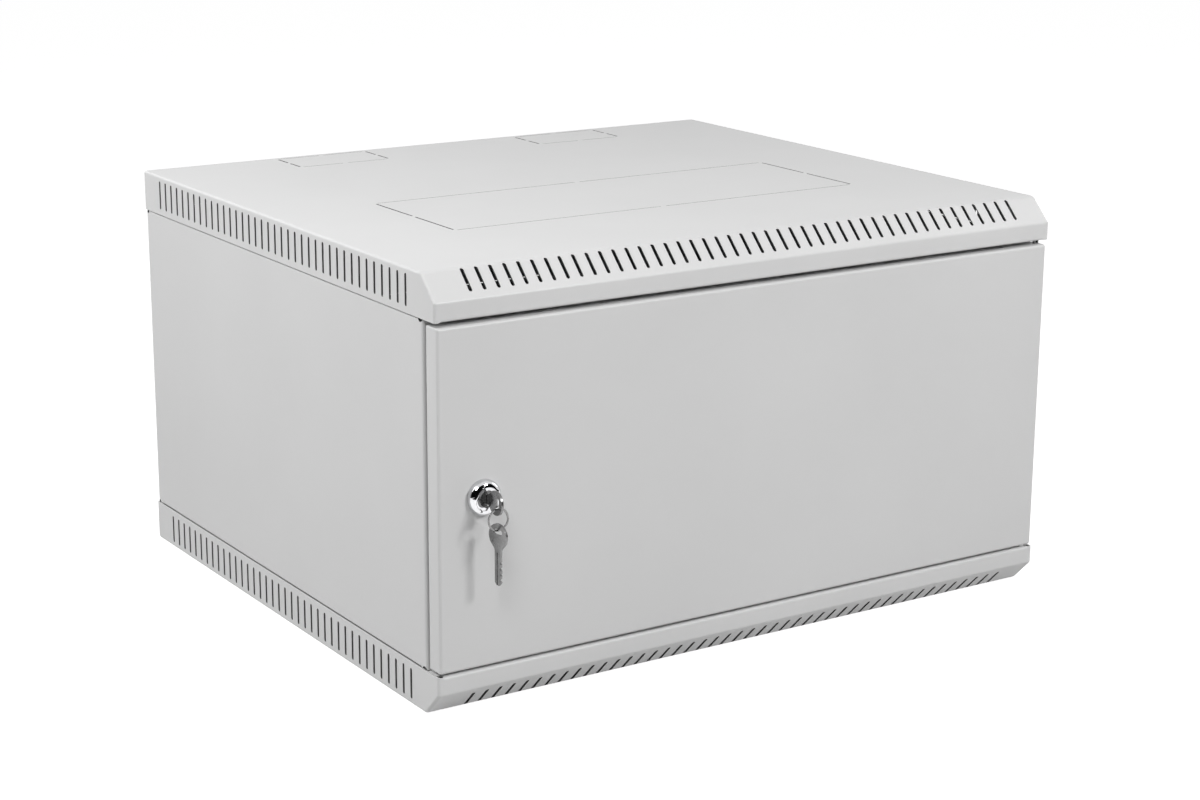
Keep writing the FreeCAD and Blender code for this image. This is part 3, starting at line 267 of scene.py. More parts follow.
# %% Lamps
LAMP_AIM = (0, 0, 0.2)
LAMPS = (
    ("behind", (-0.9, 1.9, 1.2), "RECTANGLE", (1.4, 1.2), 9.0),
    ("right_side", (1.7, -0.35, 0.9), "RECTANGLE", (0.8, 0.8), 6.0),
    ("left_side", (-1.1, 0.2, 1.15), "RECTANGLE", (0.9, 0.8), 10.2),
    ("left_round", (-1.1, -1.2, 1.45), "ELLIPSE", (0.6, 0.6), 9.5),
    ("right_round", (0.42, -1.6, 1.15), "ELLIPSE", (0.45, 0.45), 15.9),
)
for name, place, shape, size, power in LAMPS:
    aim = (Vector(LAMP_AIM) - Vector(place)).to_track_quat("-Z", "Y")
    bpy.ops.object.light_add(type="AREA", location=place, rotation=aim.to_euler())
    lamp = bpy.context.object
    lamp.name = f"lamp_{name}"
    lamp.data.shape = shape
    lamp.data.size, lamp.data.size_y = size
    lamp.data.energy = power
    print(lamp.name, power, "W")

# %% [markdown]
# The whole box is powder coated: a thin plastic skin baked onto the steel, light grey and satin.
# Close up it is not flat, because the melted powder leaves fine orange peel.
# A noise of about a millimetre bumps the surface, a finer one breaks up the shine,
# and a broad one shifts the grey by a hair, as on real sheets.
# Punched edges get a dark coat of their own: painted shade that darkens the walls of slots, slits and holes.

# %% Powder coat
def make_powder_coat(name, shade, roughness):
    """Satin powder coat with orange peel, as a noise in the piece's own coordinates."""
    coat = Finish(bpy.data.materials.new(name))
    place = coat.node("ShaderNodeTexCoord", None, None, "Object")
    broad = coat.node("ShaderNodeTexNoise", None, {"Vector": place, "Scale": 7.0, "Detail": 3.0})
    peel = coat.node("ShaderNodeTexNoise", None, {"Vector": place, "Scale": 640.0, "Detail": 2.0})
    grain = coat.node("ShaderNodeTexNoise", None, {"Vector": place, "Scale": 2300.0, "Detail": 1.0})
    tone = coat.node("ShaderNodeValToRGB", {
        "stops": ((0.3, grey(shade - 2)), (0.7, grey(shade + 2))),
    }, {"Fac": broad * 0.8 + grain * 0.2})
    bumps = coat.node("ShaderNodeBump", None, {
        "Strength": 0.05, "Distance": 0.0004, "Height": peel * 0.8 + grain * 0.2,
    })
    shader = coat.node("ShaderNodeBsdfPrincipled", None, {
        "Base Color": tone,
        "Roughness": peel * 0.06 + grain * 0.04 + (roughness - 0.05),
        "Normal": bumps,
    })
    coat.node("ShaderNodeOutputMaterial", None, {"Surface": shader})
    return coat.owner


powder_coat = make_powder_coat("grey_powder_coat", shade=210, roughness=0.42)
# A dark grey on the walls of punched slots, slits and holes is painted shade.
cut_edge_painted_shade = make_powder_coat("painted_shade_on_cut_edges", shade=96, roughness=0.5)
print("made", powder_coat.name, "and", cut_edge_painted_shade.name)

# %% [markdown]
# Modelling goes through Blender's own operators, which act on whatever is selected.
# So each helper first leaves edit mode and deselects everything, then picks what it works on,
# by where it lies or where it faces.

# %% Selecting
NEAR = 0.01 * MM
FACING = 0.9
ALIGNED = 0.999


def start_fresh():
    """Leave edit mode and select nothing."""
    if bpy.context.object and bpy.context.object.mode != "OBJECT":
        bpy.ops.object.mode_set(mode="OBJECT")
    bpy.ops.object.select_all(action="DESELECT")


def choose(piece):
    """Make one piece the only one selected."""
    start_fresh()
    piece.select_set(True)
    bpy.context.view_layer.objects.active = piece


def edit(piece):
    """Choose a piece and go into edit mode."""
    choose(piece)
    bpy.ops.object.mode_set(mode="EDIT")


def pick(piece, kind, test):
    """In edit mode, select the VERT, EDGE or FACE items that pass the test."""
    bpy.ops.mesh.select_mode(type=kind)
    bpy.ops.mesh.select_all(action="DESELECT")
    mesh = bmesh.from_edit_mesh(piece.data)
    items = {"VERT": mesh.verts, "EDGE": mesh.edges, "FACE": mesh.faces}[kind]
    chosen = [item for item in items if test(item)]
    for item in chosen:
        item.select_set(True)
    bmesh.update_edit_mesh(piece.data)
    if not chosen:
        raise RuntimeError(f"nothing to select on {piece.name}")


def middle(edge):
    """The point half way along an edge."""
    return (edge.verts[0].co + edge.verts[1].co) / 2


def along(edge, axis):
    """True for an edge that runs along one axis, 0, 1 or 2."""
    run = edge.verts[1].co - edge.verts[0].co
    return abs(run[axis]) > ALIGNED * run.length


def level(value, wanted):
    """True for two measures that are the same to within a hundredth of a millimetre."""
    return abs(value - wanted) < NEAR


print("measures match within", NEAR / MM, "mm")

# %% [markdown]
# Two tools come up again and again: a block between two corners, and a cutter that a Boolean
# punches out. A Boolean can leave points almost on top of each other, so they are merged after it.
# Each modifier is applied at once, so that every piece ends as plain mesh.

# %% Blocks and cuts
MERGE = 0.005 * MM


def modify(piece, kind, **settings):
    """Add a modifier, set it and apply it."""
    choose(piece)
    modifier = piece.modifiers.new(kind.lower(), kind)
    for name, value in settings.items():
        setattr(modifier, name, value)
    bpy.ops.object.modifier_apply(modifier=modifier.name)


def block(name, low, high):
    """A box between two corners."""
    low, high = Vector(low), Vector(high)
    start_fresh()
    bpy.ops.mesh.primitive_cube_add(size=1, location=(low + high) / 2, scale=high - low)
    piece = bpy.context.object
    piece.name = name
    bpy.ops.object.transform_apply(location=True, rotation=True, scale=True)
    return piece


def merge_close(piece):
    """Merge the points that a Boolean leaves almost on top of each other."""
    edit(piece)
    bpy.ops.mesh.select_all(action="SELECT")
    bpy.ops.mesh.remove_doubles(threshold=MERGE)
    bpy.ops.object.mode_set(mode="OBJECT")
    return piece


def cut_out(piece, *cutters):
    """Punch the cutters out of a piece and throw them away."""
    for cutter in cutters:
        modify(piece, "BOOLEAN", object=cutter, operation="DIFFERENCE", solver="EXACT")
        bpy.data.objects.remove(cutter)
    merge_close(piece)


def coat_with_painted_shade(piece, index):
    """Give a piece the sheet's coat and the dark painted shade for cut edges, and paint it all with one of
    the two.
    """
    piece.data.materials.append(powder_coat)
    piece.data.materials.append(cut_edge_painted_shade)
    piece.data.polygons.foreach_set("material_index", [index] * len(piece.data.polygons))


def punch_out(piece, *cutters):
    """Cut as above. A Boolean hands the cutter's paint, the painted shade, to the edges that it cuts."""
    coat_with_painted_shade(piece, 0)
    for cutter in cutters:
        coat_with_painted_shade(cutter, 1)
    cut_out(piece, *cutters)


print("points closer than", MERGE / MM, "mm are merged")

# %% [markdown]
# A finished piece is dressed: smoothed, painted and tied to its CAD node, whose place it takes.
# It then moves with that node's body.

# %% Dressing
SMOOTH_ANGLE = 30


def dress(piece, node, material, smooth_angle=SMOOTH_ANGLE):
    """Smooth and paint a finished piece, and let it stand for its CAD node."""
    choose(piece)
    bpy.ops.object.shade_smooth_by_angle(angle=math.radians(smooth_angle))
    modify(piece, "WEIGHTED_NORMAL", keep_sharp=True, weight=100)
    if not piece.data.materials:
        piece.data.materials.append(material)
    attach(piece, body_of(frame["nodes"][node])[0])
    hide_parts(node)
    print(piece.name, "stands for", node, "with", len(piece.data.polygons), "faces")
    return piece


# %% [markdown]
# The vents are narrow slots with round ends, punched in long rows.
# Cutting them one by one would be slow. One slot is modelled as a thin block whose ends are rounded
# by a bevel, an Array makes the row, and a single Boolean punches them all at once.
# The bevel stops just short of half the width, so that its rounds never quite meet.

# %% Vent cutters
SHEET = 1.2 * MM
FOLD = 2.5 * MM
SLOT_WIDTH = 3.0 * MM
SLOT_ROUND = 0.499 * SLOT_WIDTH
SIDE_SLOTS = 38
SIDE_PITCH = 12.2 * MM
SIDE_SHIFT = 3.5 * MM
SIDE_DROP = 17.3 * MM
SIDE_SLOT_LENGTH = 25.0 * MM
BEVEL_SLOTS = 45
BEVEL_PITCH = 12.1 * MM
BEVEL_RUN = 20.0 * MM
BEVEL_SLOT_LENGTH = 21.0 * MM
BEVEL_SLOT_RAISE = 2.0 * MM
BEVEL_ANGLE = math.radians(45)


def round_bar(name, half_sizes, round_axis, radius=SLOT_ROUND, segments=4):
    """A bar round the origin whose four edges along one axis are rounded."""
    half = Vector(half_sizes)
    bar = block(name, -half, half)
    edit(bar)
    pick(bar, "EDGE", lambda edge: along(edge, round_axis))
    bpy.ops.mesh.bevel(offset=radius, segments=segments)
    bpy.ops.object.mode_set(mode="OBJECT")
    return bar


def move_to(piece, place, tilt=0.0):
    """Turn a piece about X and move it, both into its mesh."""
    choose(piece)
    piece.rotation_euler.x = tilt
    piece.location = place
    bpy.ops.object.transform_apply(location=True, rotation=True, scale=True)
    return piece


def row(piece, count, step):
    """Repeat a piece along a line."""
    modify(
        piece, "ARRAY", count=count, use_relative_offset=False,
        use_constant_offset=True, constant_offset_displace=step,
    )
    return piece


def side_vent_cutter(low, high):
    """Upright slots that go through both folded sides."""
    cutter = round_bar("side_vents", (high.x + FOLD, SLOT_WIDTH / 2, SIDE_SLOT_LENGTH / 2), 0)
    row(cutter, SIDE_SLOTS, (0, SIDE_PITCH, 0))
    first = SIDE_SHIFT - SIDE_PITCH * (SIDE_SLOTS - 1) / 2
    return move_to(cutter, (0, first, high.z - SIDE_DROP))


def bevel_vent_cutter(low, high):
    """Slots that run down the bevel."""
    cutter = round_bar("bevel_vents", (SLOT_WIDTH / 2, BEVEL_SLOT_LENGTH / 2, 3 * SHEET), 2)
    row(cutter, BEVEL_SLOTS, (BEVEL_PITCH, 0, 0))
    first = -BEVEL_PITCH * (BEVEL_SLOTS - 1) / 2
    place = (first, low.y + BEVEL_RUN / 2 + BEVEL_SLOT_RAISE, high.z - BEVEL_RUN / 2 + BEVEL_SLOT_RAISE)
    return move_to(cutter, place, BEVEL_ANGLE)


print(SIDE_SLOTS, "slots a side and", BEVEL_SLOTS, "on the bevel")

# %% [markdown]
# Narrow slits mark the knock-outs: two cable entries at the rear and a fan opening.
# Short bridges hold each plate until someone breaks it out. The slits are thin blocks.

# %% Knock-out cutters
SLIT_ALONG = 1.6 * MM
SLIT_ACROSS = 0.8 * MM
BRIDGE = 5.0 * MM
ENTRY_INNER = 82.0 * MM
ENTRY_OUTER = 172.0 * MM
ENTRY_MARGIN = 9.0 * MM
ENTRY_DEPTH = 49.0 * MM
FAN_HALF = 200.0 * MM
FAN_DEPTH = 134.0 * MM
FAN_MIDDLE = -54.0 * MM


def join(pieces, name):
    """Make one object of several."""
    choose(pieces[0])
    for piece in pieces[1:]:
        piece.select_set(True)
    if len(pieces) > 1:
        bpy.ops.object.join()
    joined = bpy.context.object
    joined.name = name
    return joined


def slit_spans(low, high):
    """The two slits of one side, from bridge to bridge."""
    centre = (low + high) / 2
    return ((low + BRIDGE / 2, centre - BRIDGE / 2), (centre + BRIDGE / 2, high - BRIDGE / 2))


def knock_out(left, front, right, rear, bottom, top):
    """Eight slit cutters round a plate, from bottom to top."""
    slits = []
    for x in (left, right):
        for start, end in slit_spans(front, rear):
            slits.append(block("slit", (x - SLIT_ALONG / 2, start, bottom), (x + SLIT_ALONG / 2, end, top)))
    for y in (front, rear):
        for start, end in slit_spans(left, right):
            slits.append(block("slit", (start, y - SLIT_ACROSS / 2, bottom), (end, y + SLIT_ACROSS / 2, top)))
    return slits


def cover_slit_cutter(low, high):
    """The slits of the two cable entries and the fan opening."""
    rear = high.y - ENTRY_MARGIN
    depth = (high.z - 3 * SHEET, high.z + SHEET)
    slits = knock_out(ENTRY_INNER, rear - ENTRY_DEPTH, ENTRY_OUTER, rear, *depth)
    slits += knock_out(-ENTRY_OUTER, rear - ENTRY_DEPTH, -ENTRY_INNER, rear, *depth)
    fan_front = FAN_MIDDLE - FAN_DEPTH / 2
    slits += knock_out(-FAN_HALF, fan_front, FAN_HALF, fan_front + FAN_DEPTH, *depth)
    return join(slits, "slits")


print("slits are", SLIT_ACROSS / MM, "to", SLIT_ALONG / MM, "mm wide")

# %% [markdown]
# The top cover is one sheet folded down on four sides, with a bevel along its front.
# Folding plates one by one would leave seams at the corners, which the real one has welded shut.
# So a block becomes the pan: its front edge is chamfered, its bottom is deleted,
# the lip is turned in as a ledge, every fold is rounded, and Solidify gives the steel's thickness.
# A notch at each end keeps the ledge's fold clear of the corner's, and it widens again behind it.
# The long folds turn by 90 degrees and the bevel's by 45, so bevel weights keep both radii true.

# %% Folded cover
LEDGE_DEPTH = 18.5 * MM
LEDGE_RELIEF = 6.0 * MM
LEDGE_SEAM = 0.4 * MM
SOFT_FOLD = 3.0 * MM
EDGE_SHARE = FOLD / SOFT_FOLD
LOWER_SHARE = 0.45
STEEP_FOLD = 60
SLIGHT_FOLD = 30


def turn_of(edge):
    """Angle between an edge's two faces, in degrees."""
    return math.degrees(edge.calc_face_angle(0.0))


def weigh_folds(piece, weight_of):
    """Store how far each edge is rounded, as a share of the Bevel modifier's width."""
    bpy.ops.object.mode_set(mode="OBJECT")
    mesh = bmesh.new()
    mesh.from_mesh(piece.data)
    layer = mesh.edges.layers.float.new("bevel_weight_edge")
    for edge in mesh.edges:
        if len(edge.link_faces) == 2:
            edge[layer] = weight_of(edge)
    mesh.to_mesh(piece.data)
    mesh.free()


def fold_share(edge, top):
    """Share of the soft fold's width: all of it where the bevel leaves the flat top."""
    if turn_of(edge) > STEEP_FOLD:
        return EDGE_SHARE
    if turn_of(edge) < SLIGHT_FOLD:
        return 0.0
    return 1.0 if along(edge, 0) and level(middle(edge).z, top) else LOWER_SHARE


def fold_pan(name, low, high):
    """The cover's sheet as a surface: bevelled front, open below, with the ledge turned in."""
    pan = block(name, low, high)
    edit(pan)
    pick(pan, "EDGE", lambda edge: along(edge, 0) and level(middle(edge).y, low.y)
         and level(middle(edge).z, high.z))
    bpy.ops.mesh.bevel(offset=BEVEL_RUN, segments=1)
    pick(pan, "FACE", lambda face: face.normal.z < -FACING)
    bpy.ops.mesh.delete(type="ONLY_FACE")
    for side in (-1, 1):
        pick(pan, "FACE", lambda face: face.normal.y < -FACING)
        bpy.ops.mesh.bisect(plane_co=(side * (high.x - LEDGE_RELIEF), 0, 0), plane_no=(1, 0, 0))
    pick(pan, "EDGE", lambda edge: along(edge, 0) and level(middle(edge).y, low.y)
         and level(middle(edge).z, low.z) and abs(middle(edge).x) < MM)
    bpy.ops.mesh.extrude_region_move(TRANSFORM_OT_translate={"value": (0, LEDGE_RELIEF, 0)})
    bpy.ops.mesh.extrude_region_move(TRANSFORM_OT_translate={"value": (0, LEDGE_DEPTH - LEDGE_RELIEF, 0)})
    ear = LEDGE_RELIEF - SHEET - LEDGE_SEAM
    for side in (-1, 1):
        pick(pan, "EDGE", lambda edge: along(edge, 1) and level(abs(middle(edge).x), high.x - LEDGE_RELIEF)
             and middle(edge).x * side > 0 and middle(edge).y > low.y + LEDGE_RELIEF)
        bpy.ops.mesh.extrude_region_move(TRANSFORM_OT_translate={"value": (side * ear, 0, 0)})
    weigh_folds(pan, lambda edge: fold_share(edge, high.z))
    modify(pan, "BEVEL", width=SOFT_FOLD, segments=4, limit_method="WEIGHT", loop_slide=True)
    modify(pan, "SOLIDIFY", thickness=SHEET, offset=-1, use_even_offset=True)
    return pan


low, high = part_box("top_cover")
top_sheet = fold_pan("top_cover_sheet", low, high)
# The walls of the slots and slits are given the painted shade.
punch_out(top_sheet, side_vent_cutter(low, high), bevel_vent_cutter(low, high), cover_slit_cutter(low, high))
print("top cover:", len(top_sheet.data.vertices), "points")

# %% [markdown]
# The base cover is the same pressing, turned half round about the front-to-rear axis.

# %% Base cover
def turned_copy(piece, name):
    """A copy with its own mesh, turned half round about the Y axis at mid height."""
    twin = piece.copy()
    twin.data = piece.data.copy()
    twin.name = name
    bpy.context.collection.objects.link(twin)
    centre = Vector((0, 0, (cad_low.z + cad_high.z) / 2))
    turn = Matrix.Translation(centre) @ Matrix.Rotation(math.pi, 4, "Y") @ Matrix.Translation(-centre)
    twin.data.transform(turn)
    return twin


base_sheet = turned_copy(top_sheet, "base_cover_sheet")
dress(top_sheet, "top_cover", powder_coat)
dress(base_sheet, "base_cover", powder_coat)

# %% [markdown]
# Everything else in the body is folded strip: posts, beams, rails, panels and the door's stiffener.
# A press brake folds a flat strip along lines, and the same works here. A point is extruded from
# corner to corner to draw the section, the line is extruded along the strip, the folds are rounded
# with a bevel, and Solidify adds the steel on the inner side. Where a flap folds in from an edge,
# the sheet is first cut at both its ends, and only the edge's middle part is turned in.

# %% Folded strips
FLAP_MIDDLE = 200.0 * MM
FOLDED = 45


def spot(corner, distance, axis):
    """A corner of the section, put at a distance along the strip's axis."""
    place = list(corner)
    place.insert(axis, distance)
    return Vector(place)


def draw_line(name, points):
    """An open line, drawn by extruding one point from place to place."""
    start_fresh()
    bpy.ops.mesh.primitive_plane_add(size=MM, location=points[0])
    line = bpy.context.object
    line.name = name
    bpy.ops.object.transform_apply(location=True, rotation=True, scale=True)
    bpy.ops.object.mode_set(mode="EDIT")
    bpy.ops.mesh.select_mode(type="VERT")
    bpy.ops.mesh.select_all(action="SELECT")
    bpy.ops.mesh.merge(type="CENTER")
    for before, after in zip(points, points[1:]):
        bpy.ops.mesh.extrude_region_move(TRANSFORM_OT_translate={"value": after - before})
    return line


def round_folds(piece, axis, radius=FOLD):
    """Round every fold that runs along one axis."""
    pick(piece, "EDGE", lambda edge: (
        along(edge, axis) and len(edge.link_faces) == 2 and turn_of(edge) > FOLDED
    ))
    bpy.ops.mesh.bevel(offset=radius, segments=4)


def fold_strip(name, corners, axis, start, end, inside):
    """A folded strip as a surface in edit mode, its outer side facing away from the inside point."""
    strip = draw_line(name, [spot(corner, start, axis) for corner in corners])
    bpy.ops.mesh.select_mode(type="EDGE")
    bpy.ops.mesh.select_all(action="SELECT")
    bpy.ops.mesh.extrude_region_move(TRANSFORM_OT_translate={"value": spot((0, 0), end - start, axis)})
    mesh = bmesh.from_edit_mesh(strip.data)
    mesh.faces.ensure_lookup_table()
    mesh.normal_update()
    face = mesh.faces[0]
    if face.normal.dot(face.calc_center_median() - Vector(inside)) < 0:
        bpy.ops.mesh.select_all(action="SELECT")
        bpy.ops.mesh.flip_normals()
    if len(corners) > 2:
        round_folds(strip, axis)
    return strip


def add_flap(piece, on_sheet, cuts, on_edge, reach, axis, radius=FOLD):
    """Fold a flap in from the middle of an edge, with the sheet cut at both ends of the flap."""
    for place, normal in cuts:
        pick(piece, "FACE", on_sheet)
        bpy.ops.mesh.bisect(plane_co=place, plane_no=normal)
    pick(piece, "EDGE", lambda edge: along(edge, axis) and len(edge.link_faces) == 1
         and on_edge(middle(edge)))
    bpy.ops.mesh.extrude_region_move(TRANSFORM_OT_translate={"value": reach})
    pick(piece, "EDGE", lambda edge: along(edge, axis) and len(edge.link_faces) == 2
         and on_edge(middle(edge)) and turn_of(edge) > FOLDED)
    bpy.ops.mesh.bevel(offset=radius, segments=4)


def thicken(piece, sheet=SHEET):
    """Give a surface the steel's thickness, on its inner side."""
    modify(piece, "SOLIDIFY", thickness=sheet, offset=-1, use_even_offset=True)
    return piece


def twin_of(piece, name, node, material):
    """Dress the right-hand twin of a left-hand piece."""
    return dress(turned_copy(piece, name), node, material)


print("folds have a radius of", FOLD / MM, "mm outside")

# %% [markdown]
# A side panel is a shallow tray. Its front and rear edges fold in twice and lie along the posts,
# and its top and bottom edges fold in once. A small round hole at each corner lets the sheet
# fold without tearing. The photograph shows those holes as dark dots by the door.

# %% Side panels
PANEL_LIP = 14.0 * MM
PANEL_NOTCH = 9.0 * MM
PANEL_SET_BACK = 1.6 * MM
FLAP_FOLD = 1.6 * MM
RELIEF_RADIUS = 3.0 * MM
RELIEF_INSET = 3.6 * MM
RELIEF_PAST_EDGE = 0.7 * MM
RELIEF_DEPTH = 4.0 * MM
FLAP_CLEARANCE = 0.3 * MM
LOWER_SEAM_CLOSED = 0.6 * MM
PUNCH = 6.0 * MM


def round_cutter(name, place, radius, depth, turn, points=24):
    """A round punch: a cylinder along X, Y or Z, turned by rotation angles in degrees."""
    start_fresh()
    bpy.ops.mesh.primitive_cylinder_add(
        vertices=points, radius=radius, depth=depth, location=place,
        rotation=[math.radians(angle) for angle in turn],
    )
    cutter = bpy.context.object
    cutter.name = name
    bpy.ops.object.transform_apply(location=True, rotation=True, scale=True)
    return cutter


ALONG_X = (0, 90, 0)
ALONG_Y = (90, 0, 0)
ALONG_Z = (0, 0, 0)

low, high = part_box("left_side_panel")
low.y += PANEL_SET_BACK
low.z -= LOWER_SEAM_CLOSED
tray = fold_strip("left_side_sheet", (
    (high.x, low.y + PANEL_LIP), (high.x, low.y), (low.x, low.y),
    (low.x, high.y), (high.x, high.y), (high.x, high.y - PANEL_LIP),
), 2, low.z, high.z, (high.x - MM, low.y + PANEL_LIP, low.z))
flap_reach = high.x - low.x - SHEET - FLAP_CLEARANCE
for edge_z in (low.z, high.z):
    add_flap(
        tray, lambda face: face.normal.x < -FACING,
        (((0, low.y + PANEL_NOTCH, 0), (0, 1, 0)), ((0, high.y - PANEL_NOTCH, 0), (0, 1, 0))),
        lambda point: level(point.z, edge_z) and level(point.x, low.x) and abs(point.y) < FLAP_MIDDLE,
        (flap_reach, 0, 0), 1, FLAP_FOLD,
    )
left_sheet = thicken(tray)
holes = []
for y in (low.y + RELIEF_INSET, high.y - RELIEF_INSET):
    for z in (low.z - RELIEF_PAST_EDGE, high.z + RELIEF_PAST_EDGE):
        holes.append(round_cutter("relief", (low.x, y, z), RELIEF_RADIUS, RELIEF_DEPTH, ALONG_X))
# The walls of the relief holes are given the painted shade, so they show as dark dots.
punch_out(left_sheet, join(holes, "reliefs"))
twin_of(left_sheet, "right_side_sheet", "right_side_panel", powder_coat)
dress(left_sheet, "left_side_panel", powder_coat)

# %% [markdown]
# The door is a deeper tray with all its edges folded back and its corners welded.
# It starts as a block whose back is deleted. The front edges get the fold's radius, and the welded
# corners a smaller one, so the same bevel weights as on the cover tell them apart.

# %% Door
CORNER_SHARE = 0.6
LOCK_INSET = 38.0 * MM
BARREL_HOLE = 9.7 * MM
HINGE_EDGE = 5.0 * MM
PIN_HOLE = 2.6 * MM

door_low, door_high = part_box("door_panel")
MID_HEIGHT = (cad_low.z + cad_high.z) / 2
lock_x = door_low.x + LOCK_INSET
hinge_x = door_high.x - HINGE_EDGE
hinge_y = (door_low.y + door_high.y) / 2
door_sheet = block("door_sheet", door_low, door_high)
edit(door_sheet)
pick(door_sheet, "FACE", lambda face: face.normal.y > FACING)
bpy.ops.mesh.delete(type="ONLY_FACE")
weigh_folds(door_sheet, lambda edge: CORNER_SHARE if along(edge, 1) else 1.0)
modify(door_sheet, "BEVEL", width=FOLD, segments=4, limit_method="WEIGHT")
thicken(door_sheet)
cut_out(
    door_sheet,
    round_cutter("lock_hole", (lock_x, door_low.y, MID_HEIGHT), BARREL_HOLE, PUNCH, ALONG_Y, 48),
    round_cutter("pin_hole", (hinge_x, hinge_y, door_low.z), PIN_HOLE, PUNCH, ALONG_Z),
    round_cutter("pin_hole", (hinge_x, hinge_y, door_high.z), PIN_HOLE, PUNCH, ALONG_Z),
)
dress(door_sheet, "door_panel", powder_coat)

# %% [markdown]
# A hat-shaped strip is spot-welded up the middle of the door so that the sheet doesn't drum.
# Its feet lie on the door and its crown stands off, so its folds turn both ways.

# %% Door stiffener
low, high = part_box("door_stiffener")
FOOT = 12.0 * MM
seat = low.y + SHEET
crown_left, crown_right = low.x + FOOT, high.x - FOOT
hat = fold_strip("stiffener_sheet", (
    (low.x, seat), (crown_left, seat), (crown_left, high.y),
    (crown_right, high.y), (crown_right, seat), (high.x, seat),
), 2, low.z, high.z, (low.x, low.y - MM, low.z))
dress(thicken(hat), "door_stiffener", powder_coat)

# %% [markdown]
# The back is a plain plate with folded top and bottom edges, four holes for the wall bolts
# and a cable knock-out in the middle.

# %% Rear panel
REAR_WALL = 1.5 * MM
REAR_EDGE = 12.0 * MM
REAR_NOTCH = 18.0 * MM
WALL_HOLE = 4.5 * MM
WALL_HOLE_X = 225.0 * MM
WALL_HOLE_Z = 100.0 * MM
REAR_ENTRY = (130.0 * MM, 30.0 * MM)

low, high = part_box("rear_panel")
plate = fold_strip("rear_sheet", ((high.y, low.z), (high.y, high.z)), 0, low.x, high.x, (0, 0, MID_HEIGHT))
for edge_z in (low.z, high.z):
    add_flap(
        plate, lambda face: face.normal.y > FACING,
        (((low.x + REAR_NOTCH, 0, 0), (1, 0, 0)), ((high.x - REAR_NOTCH, 0, 0), (1, 0, 0))),
        lambda point: level(point.z, edge_z) and level(point.y, high.y) and abs(point.x) < FLAP_MIDDLE,
        (0, -REAR_EDGE, 0), 0,
    )
rear_sheet = thicken(plate, REAR_WALL)
holes = []
for x in (-WALL_HOLE_X, WALL_HOLE_X):
    for z in (MID_HEIGHT - WALL_HOLE_Z, MID_HEIGHT + WALL_HOLE_Z):
        holes.append(round_cutter("wall_hole", (x, high.y, z), WALL_HOLE, PUNCH, ALONG_Y, 32))
entry_x, entry_z = REAR_ENTRY
slits = knock_out(-entry_x, -entry_z, entry_x, entry_z, -PUNCH / 2, PUNCH / 2)
slits = move_to(join(slits, "rear_slits"), (0, high.y, MID_HEIGHT), math.radians(90))
cut_out(rear_sheet, join(holes, "wall_holes"), slits)
dress(rear_sheet, "rear_panel", powder_coat)

# %% [markdown]
# Four C-section posts stand in the corners. The web faces the side panel, and a tab at each end
# folds in over a welded stud of the cover, where a nut holds it.

# %% Posts
TAB_NOTCH = 3.8 * MM
STUD_HOLE = 3.2 * MM


def make_post(name, node):
    """A left-hand post."""
    low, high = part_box(node)
    post = fold_strip(name, (
        (high.x, low.y), (low.x, low.y), (low.x, high.y), (high.x, high.y),
    ), 2, low.z, high.z, (high.x, low.y + MM, low.z))
    for edge_z in (low.z, high.z):
        add_flap(
            post, lambda face: face.normal.x < -FACING,
            (((0, low.y + TAB_NOTCH, 0), (0, 1, 0)), ((0, high.y - TAB_NOTCH, 0), (0, 1, 0))),
            lambda point: level(point.z, edge_z) and level(point.x, low.x)
            and low.y + TAB_NOTCH < point.y < high.y - TAB_NOTCH,
            (high.x - low.x, 0, 0), 1,
        )
    thicken(post)
    centre = (low + high) / 2
    bores = [
        round_cutter("bore", (centre.x, centre.y, edge_z), STUD_HOLE, PUNCH, ALONG_Z)
        for edge_z in (low.z, high.z)
    ]
    cut_out(post, join(bores, "bores"))
    return post


for place in ("front", "rear"):
    post = make_post(f"{place}_left_upright", f"{place}_post_left")
    twin_of(post, f"{place}_right_upright", f"{place}_post_right", powder_coat)
    dress(post, f"{place}_post_left", powder_coat)

# %% [markdown]
# Two beams a side join the posts. A long slot in each takes the rail's bolts,
# so that the rails can be moved to suit the depth of the equipment.

# %% Depth beams
SLOT_HALF = 4.2 * MM
BEAM_SLOT_ROUND = 0.999 * SLOT_HALF
RAIL_SETBACK = 75.0 * MM
BOLT_SETBACK = 20.0 * MM
RAIL_TRAVEL = 220.0 * MM
bolt_y = door_low.y + RAIL_SETBACK + BOLT_SETBACK


def make_beam(name, node):
    """A left-hand beam."""
    low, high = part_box(node)
    beam = fold_strip(name, (
        (low.x, low.z), (high.x, low.z), (high.x, high.z), (low.x, high.z),
    ), 1, low.y, high.y, (low.x, low.y, low.z + MM))
    thicken(beam)
    centre_z = (low.z + high.z) / 2
    half_sizes = (PUNCH / 2, RAIL_TRAVEL / 2 + SLOT_HALF, SLOT_HALF)
    slot = round_bar("slot", half_sizes, 0, BEAM_SLOT_ROUND, 8)
    cut_out(beam, move_to(slot, (high.x, bolt_y + RAIL_TRAVEL / 2, centre_z)))
    return beam


for place, opposite in (("lower", "upper"), ("upper", "lower")):
    beam = make_beam(f"{place}_left_beam", f"{place}_beam_left")
    twin_of(beam, f"{opposite}_right_beam", f"{opposite}_beam_right", powder_coat)
    dress(beam, f"{place}_beam_left", powder_coat)

# %% [markdown]
# The rails and the small hardware are zinc plated: bright metal with a slightly blue tone.
# Two noises do it, a broad one for the plating's clouds and a fine one for its grain.

